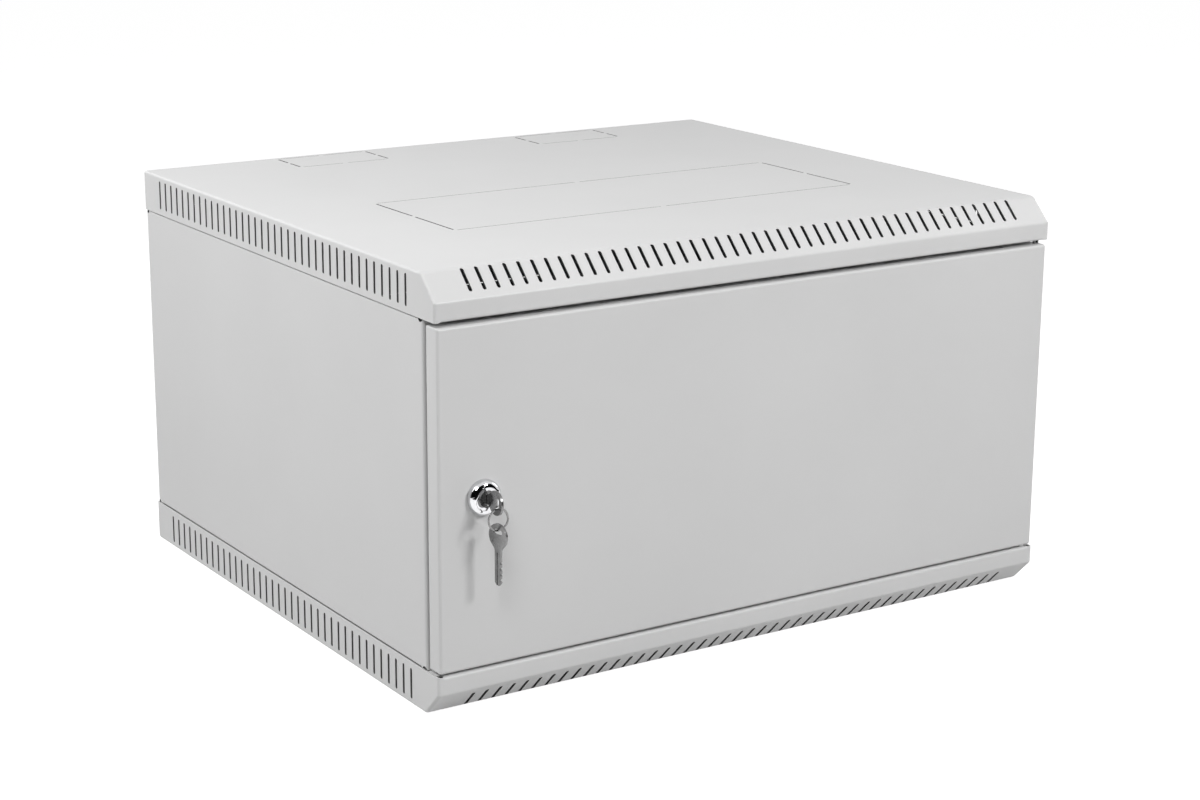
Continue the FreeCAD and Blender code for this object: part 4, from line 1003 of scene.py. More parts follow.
# %% Zinc plate
def make_zinc(name):
    """Zinc with the faint cloudy grain of the plating bath."""
    zinc = Finish(bpy.data.materials.new(name))
    place = zinc.node("ShaderNodeTexCoord", None, None, "Object")
    cloud = zinc.node("ShaderNodeTexNoise", None, {"Vector": place, "Scale": 60.0, "Detail": 4.0})
    fine = zinc.node("ShaderNodeTexNoise", None, {"Vector": place, "Scale": 1500.0, "Detail": 2.0})
    tone = zinc.node("ShaderNodeValToRGB", {
        "stops": ((0.3, (0.50, 0.51, 0.53, 1)), (0.7, (0.62, 0.63, 0.65, 1))),
    }, {"Fac": cloud})
    bumps = zinc.node("ShaderNodeBump", None, {"Strength": 0.08, "Distance": 0.0003, "Height": fine})
    shader = zinc.node("ShaderNodeBsdfPrincipled", None, {
        "Base Color": tone,
        "Metallic": 1.0,
        "Roughness": cloud * 0.12 + 0.26,
        "Normal": bumps,
    })
    zinc.node("ShaderNodeOutputMaterial", None, {"Surface": shader})
    return zinc.owner


zinc_plate = make_zinc("zinc_plate_finish")
print("made", zinc_plate.name)

# %% [markdown]
# The rack rails are plated angles. Square holes for cage nuts run up the front in the
# pattern of every equipment rack: three to a unit of 44.45 mm, the outer two nearer the next unit's.

# %% Rack rails
RAIL_WALL = 1.5 * MM
RACK_UNIT = 44.45 * MM
UNITS = 6
UNIT_HOLE_OFFSET = 15.875 * MM
SQUARE_HALF = 4.75 * MM
HOLE_ROW_X = -232.55 * MM

low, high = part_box("rack_rail_left")
angle = fold_strip("left_rack_rail", (
    (high.x, low.y), (low.x, low.y), (low.x, high.y),
), 2, low.z, high.z, (high.x, high.y, low.z))
left_rail = thicken(angle, RAIL_WALL)
squares = []
for shift in (-UNIT_HOLE_OFFSET, 0, UNIT_HOLE_OFFSET):
    half = Vector((SQUARE_HALF, PUNCH / 2, SQUARE_HALF))
    centre = Vector((HOLE_ROW_X, low.y, low.z + RACK_UNIT / 2 + shift))
    squares.append(block("square_hole", centre - half, centre + half))
cut_out(left_rail, row(join(squares, "square_holes"), UNITS, (0, 0, RACK_UNIT)))
twin_of(left_rail, "right_rack_rail", "rack_rail_right", zinc_plate)
dress(left_rail, "rack_rail_left", zinc_plate)

# %% [markdown]
# The other metals each get a finish of their own: turned steel on the pins, chrome on the lock,
# worn nickel on the keys and spring steel on the ring. One recipe serves them all.
# Its scratches are a noise that is stretched along one axis.

# %% Metals
def make_metal(name, dark, light, roughness, spread, stretch, scratches):
    """A metal with cloudy tone and fine scratches along the least stretched axis."""
    metal = Finish(bpy.data.materials.new(name))
    place = metal.node("ShaderNodeTexCoord", None, None, "Object")
    drawn = metal.node("ShaderNodeMapping", None, {"Vector": place, "Scale": stretch})
    cloud = metal.node("ShaderNodeTexNoise", None, {"Vector": place, "Scale": 160.0, "Detail": 3.0})
    lines = metal.node("ShaderNodeTexNoise", None, {"Vector": drawn, "Scale": 1.0, "Detail": 3.0})
    tone = metal.node("ShaderNodeValToRGB", {
        "stops": ((0.3, dark), (0.7, light)),
    }, {"Fac": cloud * 0.6 + lines * 0.4})
    bumps = metal.node("ShaderNodeBump", None, {"Strength": scratches, "Distance": 0.0002, "Height": lines})
    shader = metal.node("ShaderNodeBsdfPrincipled", None, {
        "Base Color": tone,
        "Metallic": 1.0,
        "Roughness": cloud * spread + lines * spread + (roughness - spread),
        "Normal": bumps,
    })
    metal.node("ShaderNodeOutputMaterial", None, {"Surface": shader})
    return metal.owner


def steel_grey(shade, blue=1.0):
    """A grey for metal, with a little more blue if wanted."""
    red, green, _, alpha = grey(shade)
    return (red, green, min(1.0, green * blue), alpha)


bright_steel = make_metal(
    "turned_steel", steel_grey(170), steel_grey(196), 0.24, 0.08, (400, 400, 4000), 0.10)
chrome = make_metal(
    "polished_chrome", steel_grey(205, 1.02), steel_grey(222, 1.02), 0.07, 0.03, (600, 600, 600), 0.01)
# The plug gets a darker grey than the other lock metals: painted shade and dark reflection for the lock's
# hollow centre.
plug_painted_shade = make_metal(
    "plug_painted_shade", steel_grey(92), steel_grey(120), 0.22, 0.08, (900, 900, 900), 0.06)
key_nickel = make_metal(
    "key_nickel", steel_grey(116), steel_grey(140), 0.26, 0.10, (3000, 3000, 300), 0.12)
ring_steel = make_metal(
    "ring_steel", steel_grey(112), steel_grey(150), 0.16, 0.06, (2000, 2000, 2000), 0.05)
for metal in (bright_steel, chrome, plug_painted_shade, key_nickel, ring_steel):
    print("made", metal.name)

# %% [markdown]
# Turned pieces are drawn as half a section and spun round the Z axis, like clay on a wheel.
# The spin's last step lies on its first, so the doubled points are merged before the normals are set.
# A turned profile is given in millimetres, as it would stand on a drawing.

# %% Lathe
LATHE_STEPS = 48
LATHE_MERGE = 0.002 * MM


def turned(name, points, steps=LATHE_STEPS):
    """A piece turned round the Z axis; the points are radius and height in millimetres."""
    shape = draw_line(name, [Vector((radius, 0, height)) * MM for radius, height in points])
    bpy.ops.mesh.select_all(action="SELECT")
    bpy.ops.mesh.spin(steps=steps, angle=2 * math.pi, center=(0, 0, 0), axis=(0, 0, 1))
    bpy.ops.mesh.select_all(action="SELECT")
    bpy.ops.mesh.remove_doubles(threshold=LATHE_MERGE)
    bpy.ops.mesh.select_all(action="SELECT")
    bpy.ops.mesh.normals_make_consistent(inside=False)
    bpy.ops.object.mode_set(mode="OBJECT")
    return shape


def thread(radius, depth, start, end, pitch):
    """Zigzag points of a thread along a shank, as rings."""
    count = int(round(abs(end - start) / pitch))
    step = (end - start) / count
    points = []
    for turn in range(count):
        points.append((radius, start + step * (turn + 0.25)))
        points.append((radius - depth, start + step * (turn + 0.75)))
    return points


print("a turned piece has", LATHE_STEPS, "sides, unless it says otherwise")

# %% [markdown]
# What repeats is modelled once at the origin. Each copy gets a mesh of its own, is turned so that
# its +Z faces the right way, and is put in its place. The studs are welded to their sheet and share
# its CAD node, so they only ride along with it.

# %% Copies and details
def copy_to(piece, name, place, facing=(0, 0, 1)):
    """A copy with its own mesh whose +Z faces a direction, put at a place."""
    copy = piece.copy()
    copy.data = piece.data.copy()
    copy.name = name
    bpy.context.collection.objects.link(copy)
    turn = Vector(facing).to_track_quat("Z", "Y").to_matrix().to_4x4()
    copy.data.transform(Matrix.Translation(Vector(place)) @ turn)
    return copy


def throw_away(*pieces):
    """Delete pieces that have served."""
    for piece in pieces:
        bpy.data.objects.remove(piece)


def add_detail(piece, like, material):
    """A piece with no CAD node of its own: it rides with the node it is fixed to."""
    choose(piece)
    bpy.ops.object.shade_smooth_by_angle(angle=math.radians(SMOOTH_ANGLE))
    piece.data.materials.clear()
    piece.data.materials.append(material)
    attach(piece, body_of(frame["nodes"][like])[0])
    print(piece.name, "rides with", like, "and has", len(piece.data.polygons), "faces")
    return piece


# %% [markdown]
# A hexagon nut is a six-sided bar whose corners are turned off by a cone.
# So a six-sided cylinder is intersected with a turned, chamfered disc, and then bored.

# %% Nuts, bolts and studs
NUT_FLATS = 10.0
NUT_HEIGHT = 5.0
STUD_RADIUS = 3.0
STUD_LENGTH = 12.0
STUD_PITCH = 1.0
STUD_THREAD = 0.45
STUD_POINT = 0.8
STUD_CHAMFER = 0.3
STUD_SIDES = 24
CHAMFER_SLOPE = math.tan(math.radians(30))
CHAMFER_START = 0.47
DISC_MARGIN = 0.2
BORE_LEAD = 0.4


def hexagon_bar(name, flats, height, both_ends):
    """A chamfered hexagon on the XY plane, without a bore. Sizes in millimetres."""
    corner = flats / math.sqrt(3)
    flat = flats * CHAMFER_START
    wide = corner + DISC_MARGIN
    drop = (wide - flat) * CHAMFER_SLOPE
    bottom = ((0, 0), (flat, 0), (wide, drop)) if both_ends else ((0, 0), (wide, 0))
    disc = turned("chamfered_disc", (*bottom, (wide, height - drop), (flat, height), (0, height)))
    start_fresh()
    bpy.ops.mesh.primitive_cylinder_add(
        vertices=6, radius=corner * MM, depth=3 * height * MM, location=(0, 0, height * MM / 2),
        rotation=(0, 0, math.radians(30)),
    )
    bar = bpy.context.object
    bar.name = name
    bpy.ops.object.transform_apply(location=True, rotation=True, scale=True)
    modify(bar, "BOOLEAN", object=disc, operation="INTERSECT", solver="EXACT")
    merge_close(bar)
    throw_away(disc)
    return bar


def make_nut(flats, height, bore):
    """A chamfered nut whose bore widens at both ends."""
    nut = hexagon_bar("nut", flats, height, True)
    wide = bore + BORE_LEAD + 1
    cut_out(nut, turned("bore", (
        (0, -1), (wide, -1), (bore, BORE_LEAD), (bore, height - BORE_LEAD),
        (wide, height + 1), (0, height + 1),
    )))
    return nut


nut = make_nut(NUT_FLATS, NUT_HEIGHT, STUD_RADIUS + 0.02)
stud = turned("stud", (
    (0, 0), (STUD_RADIUS, 0),
    *thread(STUD_RADIUS, STUD_THREAD, 0, STUD_LENGTH - STUD_PITCH, STUD_PITCH),
    (STUD_RADIUS - STUD_THREAD, STUD_LENGTH - STUD_CHAMFER),
    (STUD_RADIUS - STUD_POINT, STUD_LENGTH), (0, STUD_LENGTH),
), STUD_SIDES)

front_low, front_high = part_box("front_post_left")
rear_low, rear_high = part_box("rear_post_left")
stud_x = (front_low.x + front_high.x) / 2
stud_places = [(side * stud_x, y) for side in (-1, 1) for y in (
    (front_low.y + front_high.y) / 2, (rear_low.y + rear_high.y) / 2,
)]
for cover, facing, face_z in (("top", -1, cad_high.z - SHEET), ("base", 1, SHEET)):
    nut_low, nut_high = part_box(f"{cover}_frame_nuts")
    seat_z = nut_high.z if facing < 0 else nut_low.z
    nuts = [copy_to(nut, "nut", (x, y, seat_z), (0, 0, facing)) for x, y in stud_places]
    dress(join(nuts, f"{cover}_post_nuts"), f"{cover}_frame_nuts", zinc_plate)
    places = list(stud_places)
    if cover == "base":
        low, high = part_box("earth_nut")
        earth_place = ((low.x + high.x) / 2, (low.y + high.y) / 2)
        places.append(earth_place)
        dress(copy_to(nut, "base_earth_nut", (*earth_place, low.z)), "earth_nut", zinc_plate)
    studs = [copy_to(stud, "stud", (x, y, face_z), (0, 0, facing)) for x, y in places]
    add_detail(join(studs, f"{cover}_cover_studs"), f"{cover}_cover", zinc_plate)

low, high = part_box("door_earth_nut")
door_stud = ((low.x + high.x) / 2, door_low.y + SHEET, (low.z + high.z) / 2)
door_nut = copy_to(nut, "door_bond_nut", (door_stud[0], low.y, door_stud[2]), (0, 1, 0))
dress(door_nut, "door_earth_nut", zinc_plate)
add_detail(copy_to(stud, "door_bond_stud", door_stud, (0, 1, 0)), "door_panel", zinc_plate)
print("studs stand at", [tuple(round(value / MM, 1) for value in place) for place in stud_places])

# %% [markdown]
# Each rack rail is held by two bolts through its beam, with a square washer and a nut behind.

# %% Rail bolts
WASHER_HALF = 7.0 * MM
WASHER = 1.5 * MM
WASHER_EDGE = 0.3 * MM
SHANK_POINT = 0.6
head = hexagon_bar("head", NUT_FLATS, NUT_HEIGHT, False)
bolt_low, bolt_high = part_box("rail_bolts_left")
nuts_low, nuts_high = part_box("rail_nuts_left")
shank_length = (bolt_high.x - bolt_low.x) / MM - NUT_HEIGHT
shank = turned("shank", (
    (0, -1), (STUD_RADIUS, -1), *thread(STUD_RADIUS, STUD_THREAD, 0, shank_length - STUD_PITCH, STUD_PITCH),
    (STUD_RADIUS - SHANK_POINT, shank_length), (0, shank_length),
), STUD_SIDES)
seat_x = bolt_high.x - NUT_HEIGHT * MM
bolts, fixings = [], []
for z in (nuts_low.z + WASHER_HALF, nuts_high.z - WASHER_HALF):
    bolts.append(copy_to(head, "head", (seat_x, bolt_y, z), (1, 0, 0)))
    bolts.append(copy_to(shank, "shank", (seat_x, bolt_y, z), (-1, 0, 0)))
    half = Vector((WASHER / 2, WASHER_HALF, WASHER_HALF))
    centre = Vector((nuts_high.x - WASHER / 2, bolt_y, z))
    washer = block("washer", centre - half, centre + half)
    modify(washer, "BEVEL", width=WASHER_EDGE, segments=2)
    cut_out(washer, round_cutter("bore", centre, STUD_HOLE, PUNCH, ALONG_X))
    fixings.append(washer)
    fixings.append(copy_to(nut, "nut", (nuts_high.x - WASHER, bolt_y, z), (-1, 0, 0)))
left_bolts = join(bolts, "left_rail_bolts")
left_nuts = join(fixings, "left_rail_nuts")
twin_of(left_bolts, "right_rail_bolts", "rail_bolts_right", zinc_plate)
twin_of(left_nuts, "right_rail_nuts", "rail_nuts_right", zinc_plate)
dress(left_bolts, "rail_bolts_left", zinc_plate)
dress(left_nuts, "rail_nuts_left", zinc_plate)
throw_away(nut, stud, head, shank)

# %% [markdown]
# The door hangs on two pins. The lower one is riveted to the base cover, and its collar carries
# the door. The upper one is sprung: its bent end is a finger lever, and pulling it down frees the door.

# %% Hinge pins
PIN_RADIUS = 2.5
RIVET = 3.2
LOWER_COLLAR = (4.5, 1.7, 0.3)
LOWER_TIP = 7.2
UPPER_COLLAR = (3.3, 4.5, 0.2)
COLLAR_EDGE = 0.3
LEVER_BEND = 5.0 * MM
LEVER_TIP = 0.8 * MM
LEVER_TAPER = 0.7


def pin_collar(start, radius, height, ease):
    """A collar round the pin from a starting height, with eased edges."""
    end = start + height
    return (
        (PIN_RADIUS, start), (radius - ease, start), (radius, start + COLLAR_EDGE),
        (radius, end - COLLAR_EDGE), (radius - ease, end), (PIN_RADIUS, end),
    )


def pin_tip(top):
    """The pin's rounded end, which finds the door's hole by itself."""
    return ((PIN_RADIUS, top - 1.8), (2.3, top - 0.9), (1.8, top - 0.3), (1.0, top), (0, top))


low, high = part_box("lower_hinge_pin")
lower_pin = turned("lower_pin", (
    (0, -RIVET), (2.0, -RIVET), (PIN_RADIUS, -2.8), *pin_collar(0, *LOWER_COLLAR), *pin_tip(LOWER_TIP),
))
standing_pin = copy_to(lower_pin, "door_lower_pin", (hinge_x, hinge_y, low.z + RIVET * MM))
dress(standing_pin, "lower_hinge_pin", bright_steel)
throw_away(lower_pin)

pin_low, pin_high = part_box("upper_hinge_pin")
spring_low, spring_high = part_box("upper_pin_spring")
tail_z = pin_low.z + PIN_RADIUS * MM + LEVER_BEND
stem = tail_z / MM
upper_pin = turned("door_upper_pin", (
    (0, stem), (PIN_RADIUS, stem), *pin_collar(spring_high.z / MM, *UPPER_COLLAR), *pin_tip(pin_high.z / MM),
), 32)
upper_pin = move_to(upper_pin, (hinge_x, hinge_y, 0))
edit(upper_pin)
pick(upper_pin, "FACE", lambda face: face.normal.z < -FACING and level(face.calc_center_median().z, tail_z))
bend_x = hinge_x - LEVER_BEND
bpy.ops.mesh.spin(steps=8, angle=-math.pi / 2, center=(bend_x, hinge_y, tail_z), axis=(0, 1, 0))
bpy.ops.mesh.extrude_region_move(TRANSFORM_OT_translate={"value": (pin_low.x - bend_x + LEVER_TIP, 0, 0)})
bpy.ops.mesh.extrude_region_move(TRANSFORM_OT_translate={"value": (-LEVER_TIP, 0, 0)})
bpy.ops.transform.resize(value=(1, LEVER_TAPER, LEVER_TAPER))
bpy.ops.object.mode_set(mode="OBJECT")
dress(upper_pin, "upper_hinge_pin", bright_steel)
print("lever ends at x", round(min(vertex.co.x for vertex in upper_pin.data.vertices) / MM, 1))

# %% [markdown]
# The pin slides in a small folded bracket, and a coil spring presses its collar up.
# A coil is a circle swept by the Screw modifier: so far round, and so far up at each turn.
# The first and last turns lie flat, as on a real compression spring. It is squeezed when the pin is pulled.

# %% Bracket and spring
SPRING_WIRE = 0.35 * MM
SPRING_TURNS = 5
COIL_STEPS = 24
CLOSED_RISE = 2.1 * SPRING_WIRE
BRACKET_WALL = 1.5 * MM

low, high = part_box("upper_pin_bracket")
bracket = fold_strip("pin_bracket", (
    (low.y, low.z), (low.y, high.z), (high.y, high.z),
), 0, low.x, high.x, (low.x, high.y, low.z))
thicken(bracket, BRACKET_WALL)
cut_out(bracket, round_cutter("pin_hole", (hinge_x, hinge_y, high.z), PIN_HOLE, PUNCH, ALONG_Z))
dress(bracket, "upper_pin_bracket", powder_coat)


def coil_part(radius, wire, turns, rise, start, points=10):
    """Whole turns of a round wire, open at both ends, from a starting height."""
    start_fresh()
    bpy.ops.mesh.primitive_circle_add(
        vertices=points, radius=wire, location=(radius, 0, start), rotation=(math.radians(90), 0, 0),
    )
    part = bpy.context.object
    bpy.ops.object.transform_apply(location=True, rotation=True, scale=True)
    modify(part, "SCREW", axis="Z", angle=2 * math.pi, iterations=turns, screw_offset=rise,
           steps=COIL_STEPS, render_steps=COIL_STEPS, use_merge_vertices=False)
    return part


def close_ends(piece):
    """Weld the parts of a swept piece, cap its two ends and face it outwards."""
    edit(piece)
    bpy.ops.mesh.select_all(action="SELECT")
    bpy.ops.mesh.remove_doubles(threshold=MERGE)
    bpy.ops.mesh.select_all(action="SELECT")
    bpy.ops.mesh.fill_holes(sides=0)
    bpy.ops.mesh.select_all(action="SELECT")
    bpy.ops.mesh.normals_make_consistent(inside=False)
    bpy.ops.object.mode_set(mode="OBJECT")
    return piece


coil_radius = (spring_high.x - spring_low.x) / 2 - SPRING_WIRE
coil_height = spring_high.z - spring_low.z - 2 * SPRING_WIRE
open_height = coil_height - 2 * CLOSED_RISE
spring = join([
    coil_part(coil_radius, SPRING_WIRE, 1, CLOSED_RISE, 0),
    coil_part(coil_radius, SPRING_WIRE, SPRING_TURNS, open_height / SPRING_TURNS, CLOSED_RISE),
    coil_part(coil_radius, SPRING_WIRE, 1, CLOSED_RISE, CLOSED_RISE + open_height),
], "pin_spring")
close_ends(spring)
move_to(spring, (hinge_x, hinge_y, spring_low.z + SPRING_WIRE))
dress(spring, "upper_pin_spring", bright_steel, 60)
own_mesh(spring)

# %% [markdown]
# The lock is a cam lock. A chromed bezel with a soft, domed edge stands on the door, a threaded
# barrel with two flats goes through it, and a nut clamps it from inside.
# The plug turns in the bezel with the key, and carries the cam that reaches behind the post.
# Each piece is turned round Z at the origin, then tilted so that its +Z comes out of the door.

# %% Lock body
BEZEL = 14.0
BEZEL_HEIGHT = 7.2
BEZEL_ROUND = 5.2
PLUG = 6.4
BORE = 6.46
BARREL = 9.5
BARREL_FLAT = 8.0 * MM
BARREL_LENGTH = 20.6
FLAT_START = 1.5 * MM
BARREL_THREAD = 0.5
BARREL_PITCH = 1.25
lock_place = (lock_x, door_low.y, MID_HEIGHT)


def to_lock(piece):
    """Put a piece on the lock's axis, its own +Z out of the door."""
    return move_to(piece, lock_place, math.radians(90))


def arc(centre_radius, centre_height, radius, start, end, steps):
    """Points of an arc of the section, from one angle to another in degrees."""
    points = []
    for step in range(steps + 1):
        angle = math.radians(start + (end - start) * step / steps)
        points.append((centre_radius + radius * math.cos(angle), centre_height + radius * math.sin(angle)))
    return points


lock_body = turned("lock_bezel", (
    (BORE, -BARREL_LENGTH), (BARREL - 0.7, -BARREL_LENGTH),
    *thread(BARREL, BARREL_THREAD, -BARREL_LENGTH + 0.8, -2.0, BARREL_PITCH),
    (BARREL, -1.2), (BARREL, 0), (BEZEL - 0.2, 0), (BEZEL, 0.2), (BEZEL, 1.3),
    *arc(BEZEL - BEZEL_ROUND, BEZEL_HEIGHT - BEZEL_ROUND, BEZEL_ROUND, 0, 90, 10),
    (BORE + 0.5, BEZEL_HEIGHT), (BORE + 0.2, BEZEL_HEIGHT - 0.1), (BORE, BEZEL_HEIGHT - 0.4),
    (BORE, -BARREL_LENGTH),
), 72)
clear = (BARREL + 1) * MM
below = -(BARREL_LENGTH + 1) * MM
cuts = []
for side in (-1, 1):
    left_x, right_x = sorted((side * BARREL_FLAT, side * clear))
    cuts.append(block("flat", (left_x, -clear, below), (right_x, clear, -FLAT_START)))
cut_out(lock_body, join(cuts, "flats"))
dress(to_lock(lock_body), "lock_body", chrome)

# %% [markdown]
# The clamp nut comes from the same recipe as the small ones, only larger.

# %% Lock nut
LOCK_NUT_FLATS = 22.0
LOCK_NUT_HEIGHT = 4.0
lock_nut = make_nut(LOCK_NUT_FLATS, LOCK_NUT_HEIGHT, BARREL + 0.05)
move_to(lock_nut, (0, 0, -SHEET - LOCK_NUT_HEIGHT * MM))
lock_nut.name = "lock_clamp_nut"
dress(to_lock(lock_nut), "lock_nut", zinc_plate)

# %% [markdown]
# The plug's face is dished a little, and the keyway is a narrow slot through it.
# Its inner end is square, so that it turns the cam, and is bored for the cam's screw.

# %% Lock plug
PLUG_FACE = 7.0
SQUARE_HALF_SIDE = 3.5 * MM
SQUARE_END = 23.0 * MM
KEYWAY = (1.25 * MM, 3.55 * MM, 27.3 * MM)
SCREW_HOLE = (2.05 * MM, 4.2 * MM)
plug = turned("turning_plug", (
    (0, -BARREL_LENGTH), (PLUG, -BARREL_LENGTH), (PLUG, PLUG_FACE - 0.5), (PLUG - 0.3, PLUG_FACE),
    (PLUG - 1.2, PLUG_FACE), (PLUG - 1.6, PLUG_FACE - 0.25), (0, PLUG_FACE - 0.25),
))
square_end = block(
    "square_end", (-SQUARE_HALF_SIDE, -SQUARE_HALF_SIDE, -SQUARE_END),
    (SQUARE_HALF_SIDE, SQUARE_HALF_SIDE, -(BARREL_LENGTH - 1) * MM),
)
modify(plug, "BOOLEAN", object=square_end, operation="UNION", solver="EXACT")
throw_away(square_end)
key_x, key_y, key_depth = KEYWAY
cut_out(
    plug,
    block("keyway", (-key_x, -key_y, PLUG_FACE * MM - key_depth), (key_x, key_y, (PLUG_FACE + 1) * MM)),
    round_cutter("screw_hole", (0, 0, -SQUARE_END), *SCREW_HOLE, ALONG_Z),
)
dress(to_lock(plug), "lock_plug", plug_painted_shade)

# %% [markdown]
# Flat stamped pieces, the cam and the keys, start as an outline in the plane.
# The outline is drawn point by point and closed, filled, and extruded to its thickness,
# and a fine bevel takes the sharpness off, as tumbling does to the real stampings.
# Every plate is thinner than 3 mm, so a cutter that reaches THROUGH comes out on the far side.

# %% Flat plates
SHARP = 50
THROUGH = 3.0 * MM


def stamped(name, outline, thickness, bevel):
    """A plate on the XY plane from a closed outline in millimetres."""
    points = [Vector((x, y, 0)) * MM for x, y in outline]
    plate = draw_line(name, points)
    bpy.ops.mesh.select_all(action="SELECT")
    bpy.ops.mesh.edge_face_add()
    bpy.ops.mesh.select_all(action="SELECT")
    bpy.ops.mesh.extrude_region_move(TRANSFORM_OT_translate={"value": (0, 0, thickness * MM)})
    bpy.ops.mesh.select_all(action="SELECT")
    bpy.ops.mesh.normals_make_consistent(inside=False)
    bpy.ops.object.mode_set(mode="OBJECT")
    modify(plate, "BEVEL", width=bevel * MM, segments=2, limit_method="ANGLE",
           angle_limit=math.radians(SHARP))
    return plate


print("stampings are eased where they turn by more than", SHARP, "degrees")

# %% [markdown]
# The cam is a plain bar with a square hole that fits the plug's end. A pan screw with a cross recess
# holds it there.

# %% Cam and its screw
CAM_HALF = 7.5
CAM_LENGTH = 26.0
CAM_WALL = 2.0
CAM_CORNER = 3.0
CAM_CLEARANCE = 0.1 * MM
RECESS_LENGTH = 2.6 * MM
RECESS_WIDTH = 0.45 * MM
RECESS_DEPTH = 1.4 * MM
cam_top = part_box("lock_cam")[1].y
cam = stamped("turning_cam", (
    *arc(0, 0, CAM_HALF, 180, 360, 20),
    *arc(CAM_HALF - CAM_CORNER, CAM_LENGTH - CAM_CORNER, CAM_CORNER, 0, 90, 6),
    *arc(CAM_CORNER - CAM_HALF, CAM_LENGTH - CAM_CORNER, CAM_CORNER, 90, 180, 6),
), CAM_WALL, 0.2)
hole_half = SQUARE_HALF_SIDE + CAM_CLEARANCE
cut_out(cam, block("square_hole", (-hole_half, -hole_half, -MM), (hole_half, hole_half, THROUGH)))
move_to(cam, (0, 0, door_low.y - cam_top))
dress(to_lock(cam), "lock_cam", zinc_plate)

screw_low, screw_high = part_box("cam_screw")
screw_end = (screw_high.y - screw_low.y) / MM
screw = turned("cam_pan_screw", (
    (0, 0), (3.6, 0), *arc(3.4, 1.6, 1.6, -75, 0, 5), (5.0, 2.9), (4.9, 3.0),
    (2.0, 3.0), (2.0, screw_end), (0, screw_end),
))
arms = ((RECESS_LENGTH, RECESS_WIDTH), (RECESS_WIDTH, RECESS_LENGTH))
cut_out(screw, *[block("recess", (-x, -y, -MM), (x, y, RECESS_DEPTH)) for x, y in arms])
move_to(screw, (0, 0, door_low.y - screw_high.y))
dress(to_lock(screw), "cam_screw", bright_steel)

# %% [markdown]
# Both keys are the same stamping: a notched blade, smooth shoulders and a round bow with a slot
# for the ring. A shallow round recess on each side of the bow and a groove along the blade
# are milled out afterwards. One key is in the lock, and its twin hangs from the ring.

# %% Keys
KEY_WALL = 1.9
BLADE_HALF = 3.25
BLADE = 27.0
BOW = 9.5
BOW_MIDDLE = 39.0
BOW_START = -21
SLOT_MIDDLE = 42.0
BOW_SLOT = (4.75, 2.25)
BOW_SLOT_ROUND = 0.98
BOW_RECESS = (34.6, 3.2, 0.5, 1.7)
TIP_HALF = 1.2
TIP_RISE = 2.4
NOTCH_PITCH = 4.5
NOTCH_FLOOR = 0.35
NOTCHES = (1.4, 0.8, 1.2, 0.9)
SHOULDER_STEPS = 7
GROOVE_LENGTH = 26
FRONT_GROOVE = (-1.0, 0.3, 0.5)
BACK_GROOVE = (0.7, 1.5, 0.45)
SPARE_TWIST = 13.0


def key_outline():
    """Round the key from the tip: up the notched edge, over the bow and down the back."""
    points = [(-TIP_HALF, 0), (TIP_HALF, 0), (BLADE_HALF, TIP_RISE)]
    for number, depth in enumerate(NOTCHES, start=1):
        centre = NOTCH_PITCH * number
        floor_x = BLADE_HALF - depth
        points += [(BLADE_HALF, centre - depth), (floor_x, centre - NOTCH_FLOOR)]
        points += [(floor_x, centre + NOTCH_FLOOR), (BLADE_HALF, centre + depth)]
    bow = arc(0, BOW_MIDDLE, BOW, BOW_START, 180 - BOW_START, 32)
    reach, top = bow[0]
    shoulder = []
    for step in range(SHOULDER_STEPS):
        share = step / SHOULDER_STEPS
        ease = share * share * (3 - 2 * share)
        shoulder.append((BLADE_HALF + (reach - BLADE_HALF) * ease, BLADE + (top - BLADE) * share))
    points += shoulder + bow + [(-x, y) for x, y in reversed(shoulder)]
    return points + [(-BLADE_HALF, TIP_RISE)]


def make_key():
    """A key with its blade's tip at the origin, its length up Z and its thickness along X."""
    key = stamped("key", key_outline(), KEY_WALL, 0.16)
    half_length, half_width = BOW_SLOT
    slot = block(
        "ring_slot", (-half_length * MM, (SLOT_MIDDLE - half_width) * MM, -MM),
        (half_length * MM, (SLOT_MIDDLE + half_width) * MM, THROUGH),
    )
    edit(slot)
    pick(slot, "EDGE", lambda edge: along(edge, 2))
    bpy.ops.mesh.bevel(offset=half_width * BOW_SLOT_ROUND * MM, segments=6)
    place, radius, depth, stretch = BOW_RECESS
    recesses = []
    for face_z in (0, KEY_WALL * MM):
        recess = round_cutter("recess", (0, 0, 0), radius * MM, depth * MM, ALONG_Z, 40)
        recess.scale.x = stretch
        recesses.append(move_to(recess, (0, place * MM, face_z)))
    left, right, depth = [size * MM for size in FRONT_GROOVE]
    groove = block("groove", (left, -MM, KEY_WALL * MM - depth), (right, GROOVE_LENGTH * MM, THROUGH))
    left, right, depth = [size * MM for size in BACK_GROOVE]
    back_groove = block("groove", (left, -MM, -MM), (right, GROOVE_LENGTH * MM, depth))
    cut_out(key, slot, join(recesses, "recesses"), groove, back_groove)
    stand = Matrix.Rotation(math.radians(90), 4, "Z") @ Matrix.Rotation(math.radians(90), 4, "X")
    key.data.transform(stand @ Matrix.Translation((0, 0, -KEY_WALL * MM / 2)))
    return key


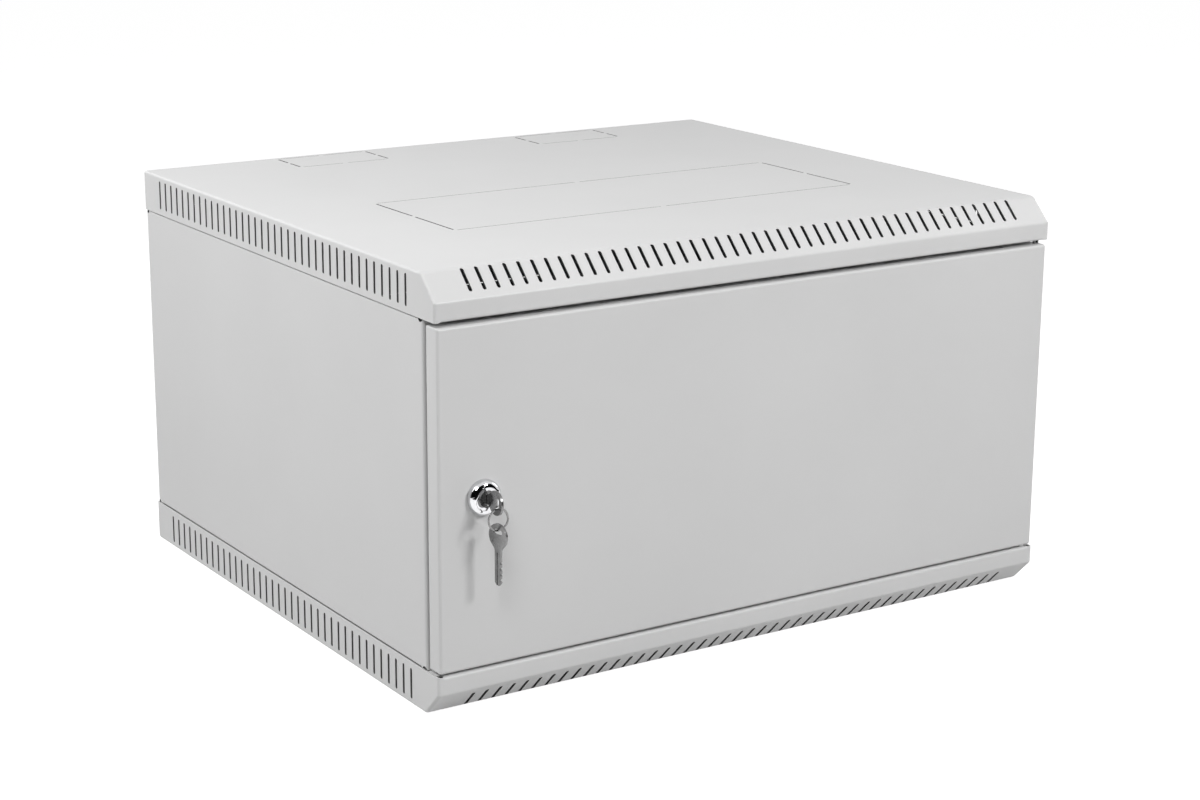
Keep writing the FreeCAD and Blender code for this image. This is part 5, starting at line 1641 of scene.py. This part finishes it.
key = make_key()
in_lock = copy_to(key, "key_turned_in", (0, 0, 0))
low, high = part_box("key_in_lock")
move_to(in_lock, (lock_x, high.y, MID_HEIGHT), math.radians(90))
dress(in_lock, "key_in_lock", key_nickel)
low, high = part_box("spare_key")
spare = copy_to(key, "hanging_key", (0, 0, 0))
spare.data.transform(Matrix.Rotation(math.radians(SPARE_TWIST), 4, "Z"))
move_to(spare, (lock_x, (low.y + high.y) / 2, low.z))
dress(spare, "spare_key", key_nickel)
throw_away(key)

# %% [markdown]
# The ring is a split ring: two turns of flat wire that lie on each other.
# The wire's section is what is left of a wafer when all but one face is deleted. Screw sweeps it
# twice round with a rise of one wire, and the ends stay visible.

# %% Split ring
ring_low, ring_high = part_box("key_ring")
RING_GAP = 0.04 * MM
WIRE_WIDTH = 1.4 * MM
WIRE_ROUND = 0.12 * MM
WAFER = 0.0001 * MM
RING_STEPS = 48
ring_outer = (ring_high.x - ring_low.x) / 2
wire_rise = (ring_high.y - ring_low.y) / 3
half = Vector((WIRE_WIDTH / 2, 0, wire_rise / 2 - RING_GAP))
centre = Vector((ring_outer - WIRE_WIDTH / 2, 0, 0))
section = block("split_ring", centre - half, centre + half + Vector((0, WAFER, 0)))
edit(section)
pick(section, "FACE", lambda face: face.normal.y < FACING)
bpy.ops.mesh.delete(type="FACE")
bpy.ops.mesh.select_mode(type="VERT")
bpy.ops.mesh.select_all(action="SELECT")
bpy.ops.mesh.bevel(offset=WIRE_ROUND, segments=2, affect="VERTICES")
bpy.ops.mesh.select_all(action="SELECT")
bpy.ops.mesh.delete(type="ONLY_FACE")
bpy.ops.object.mode_set(mode="OBJECT")
modify(section, "SCREW", axis="Z", angle=2 * math.pi, iterations=2, screw_offset=wire_rise,
       steps=RING_STEPS, render_steps=RING_STEPS, use_merge_vertices=False)
close_ends(section)
ring_centre = (ring_low + ring_high) / 2
move_to(section, (lock_x, ring_centre.y + wire_rise, ring_centre.z), math.radians(90))
dress(section, "key_ring", ring_steel)
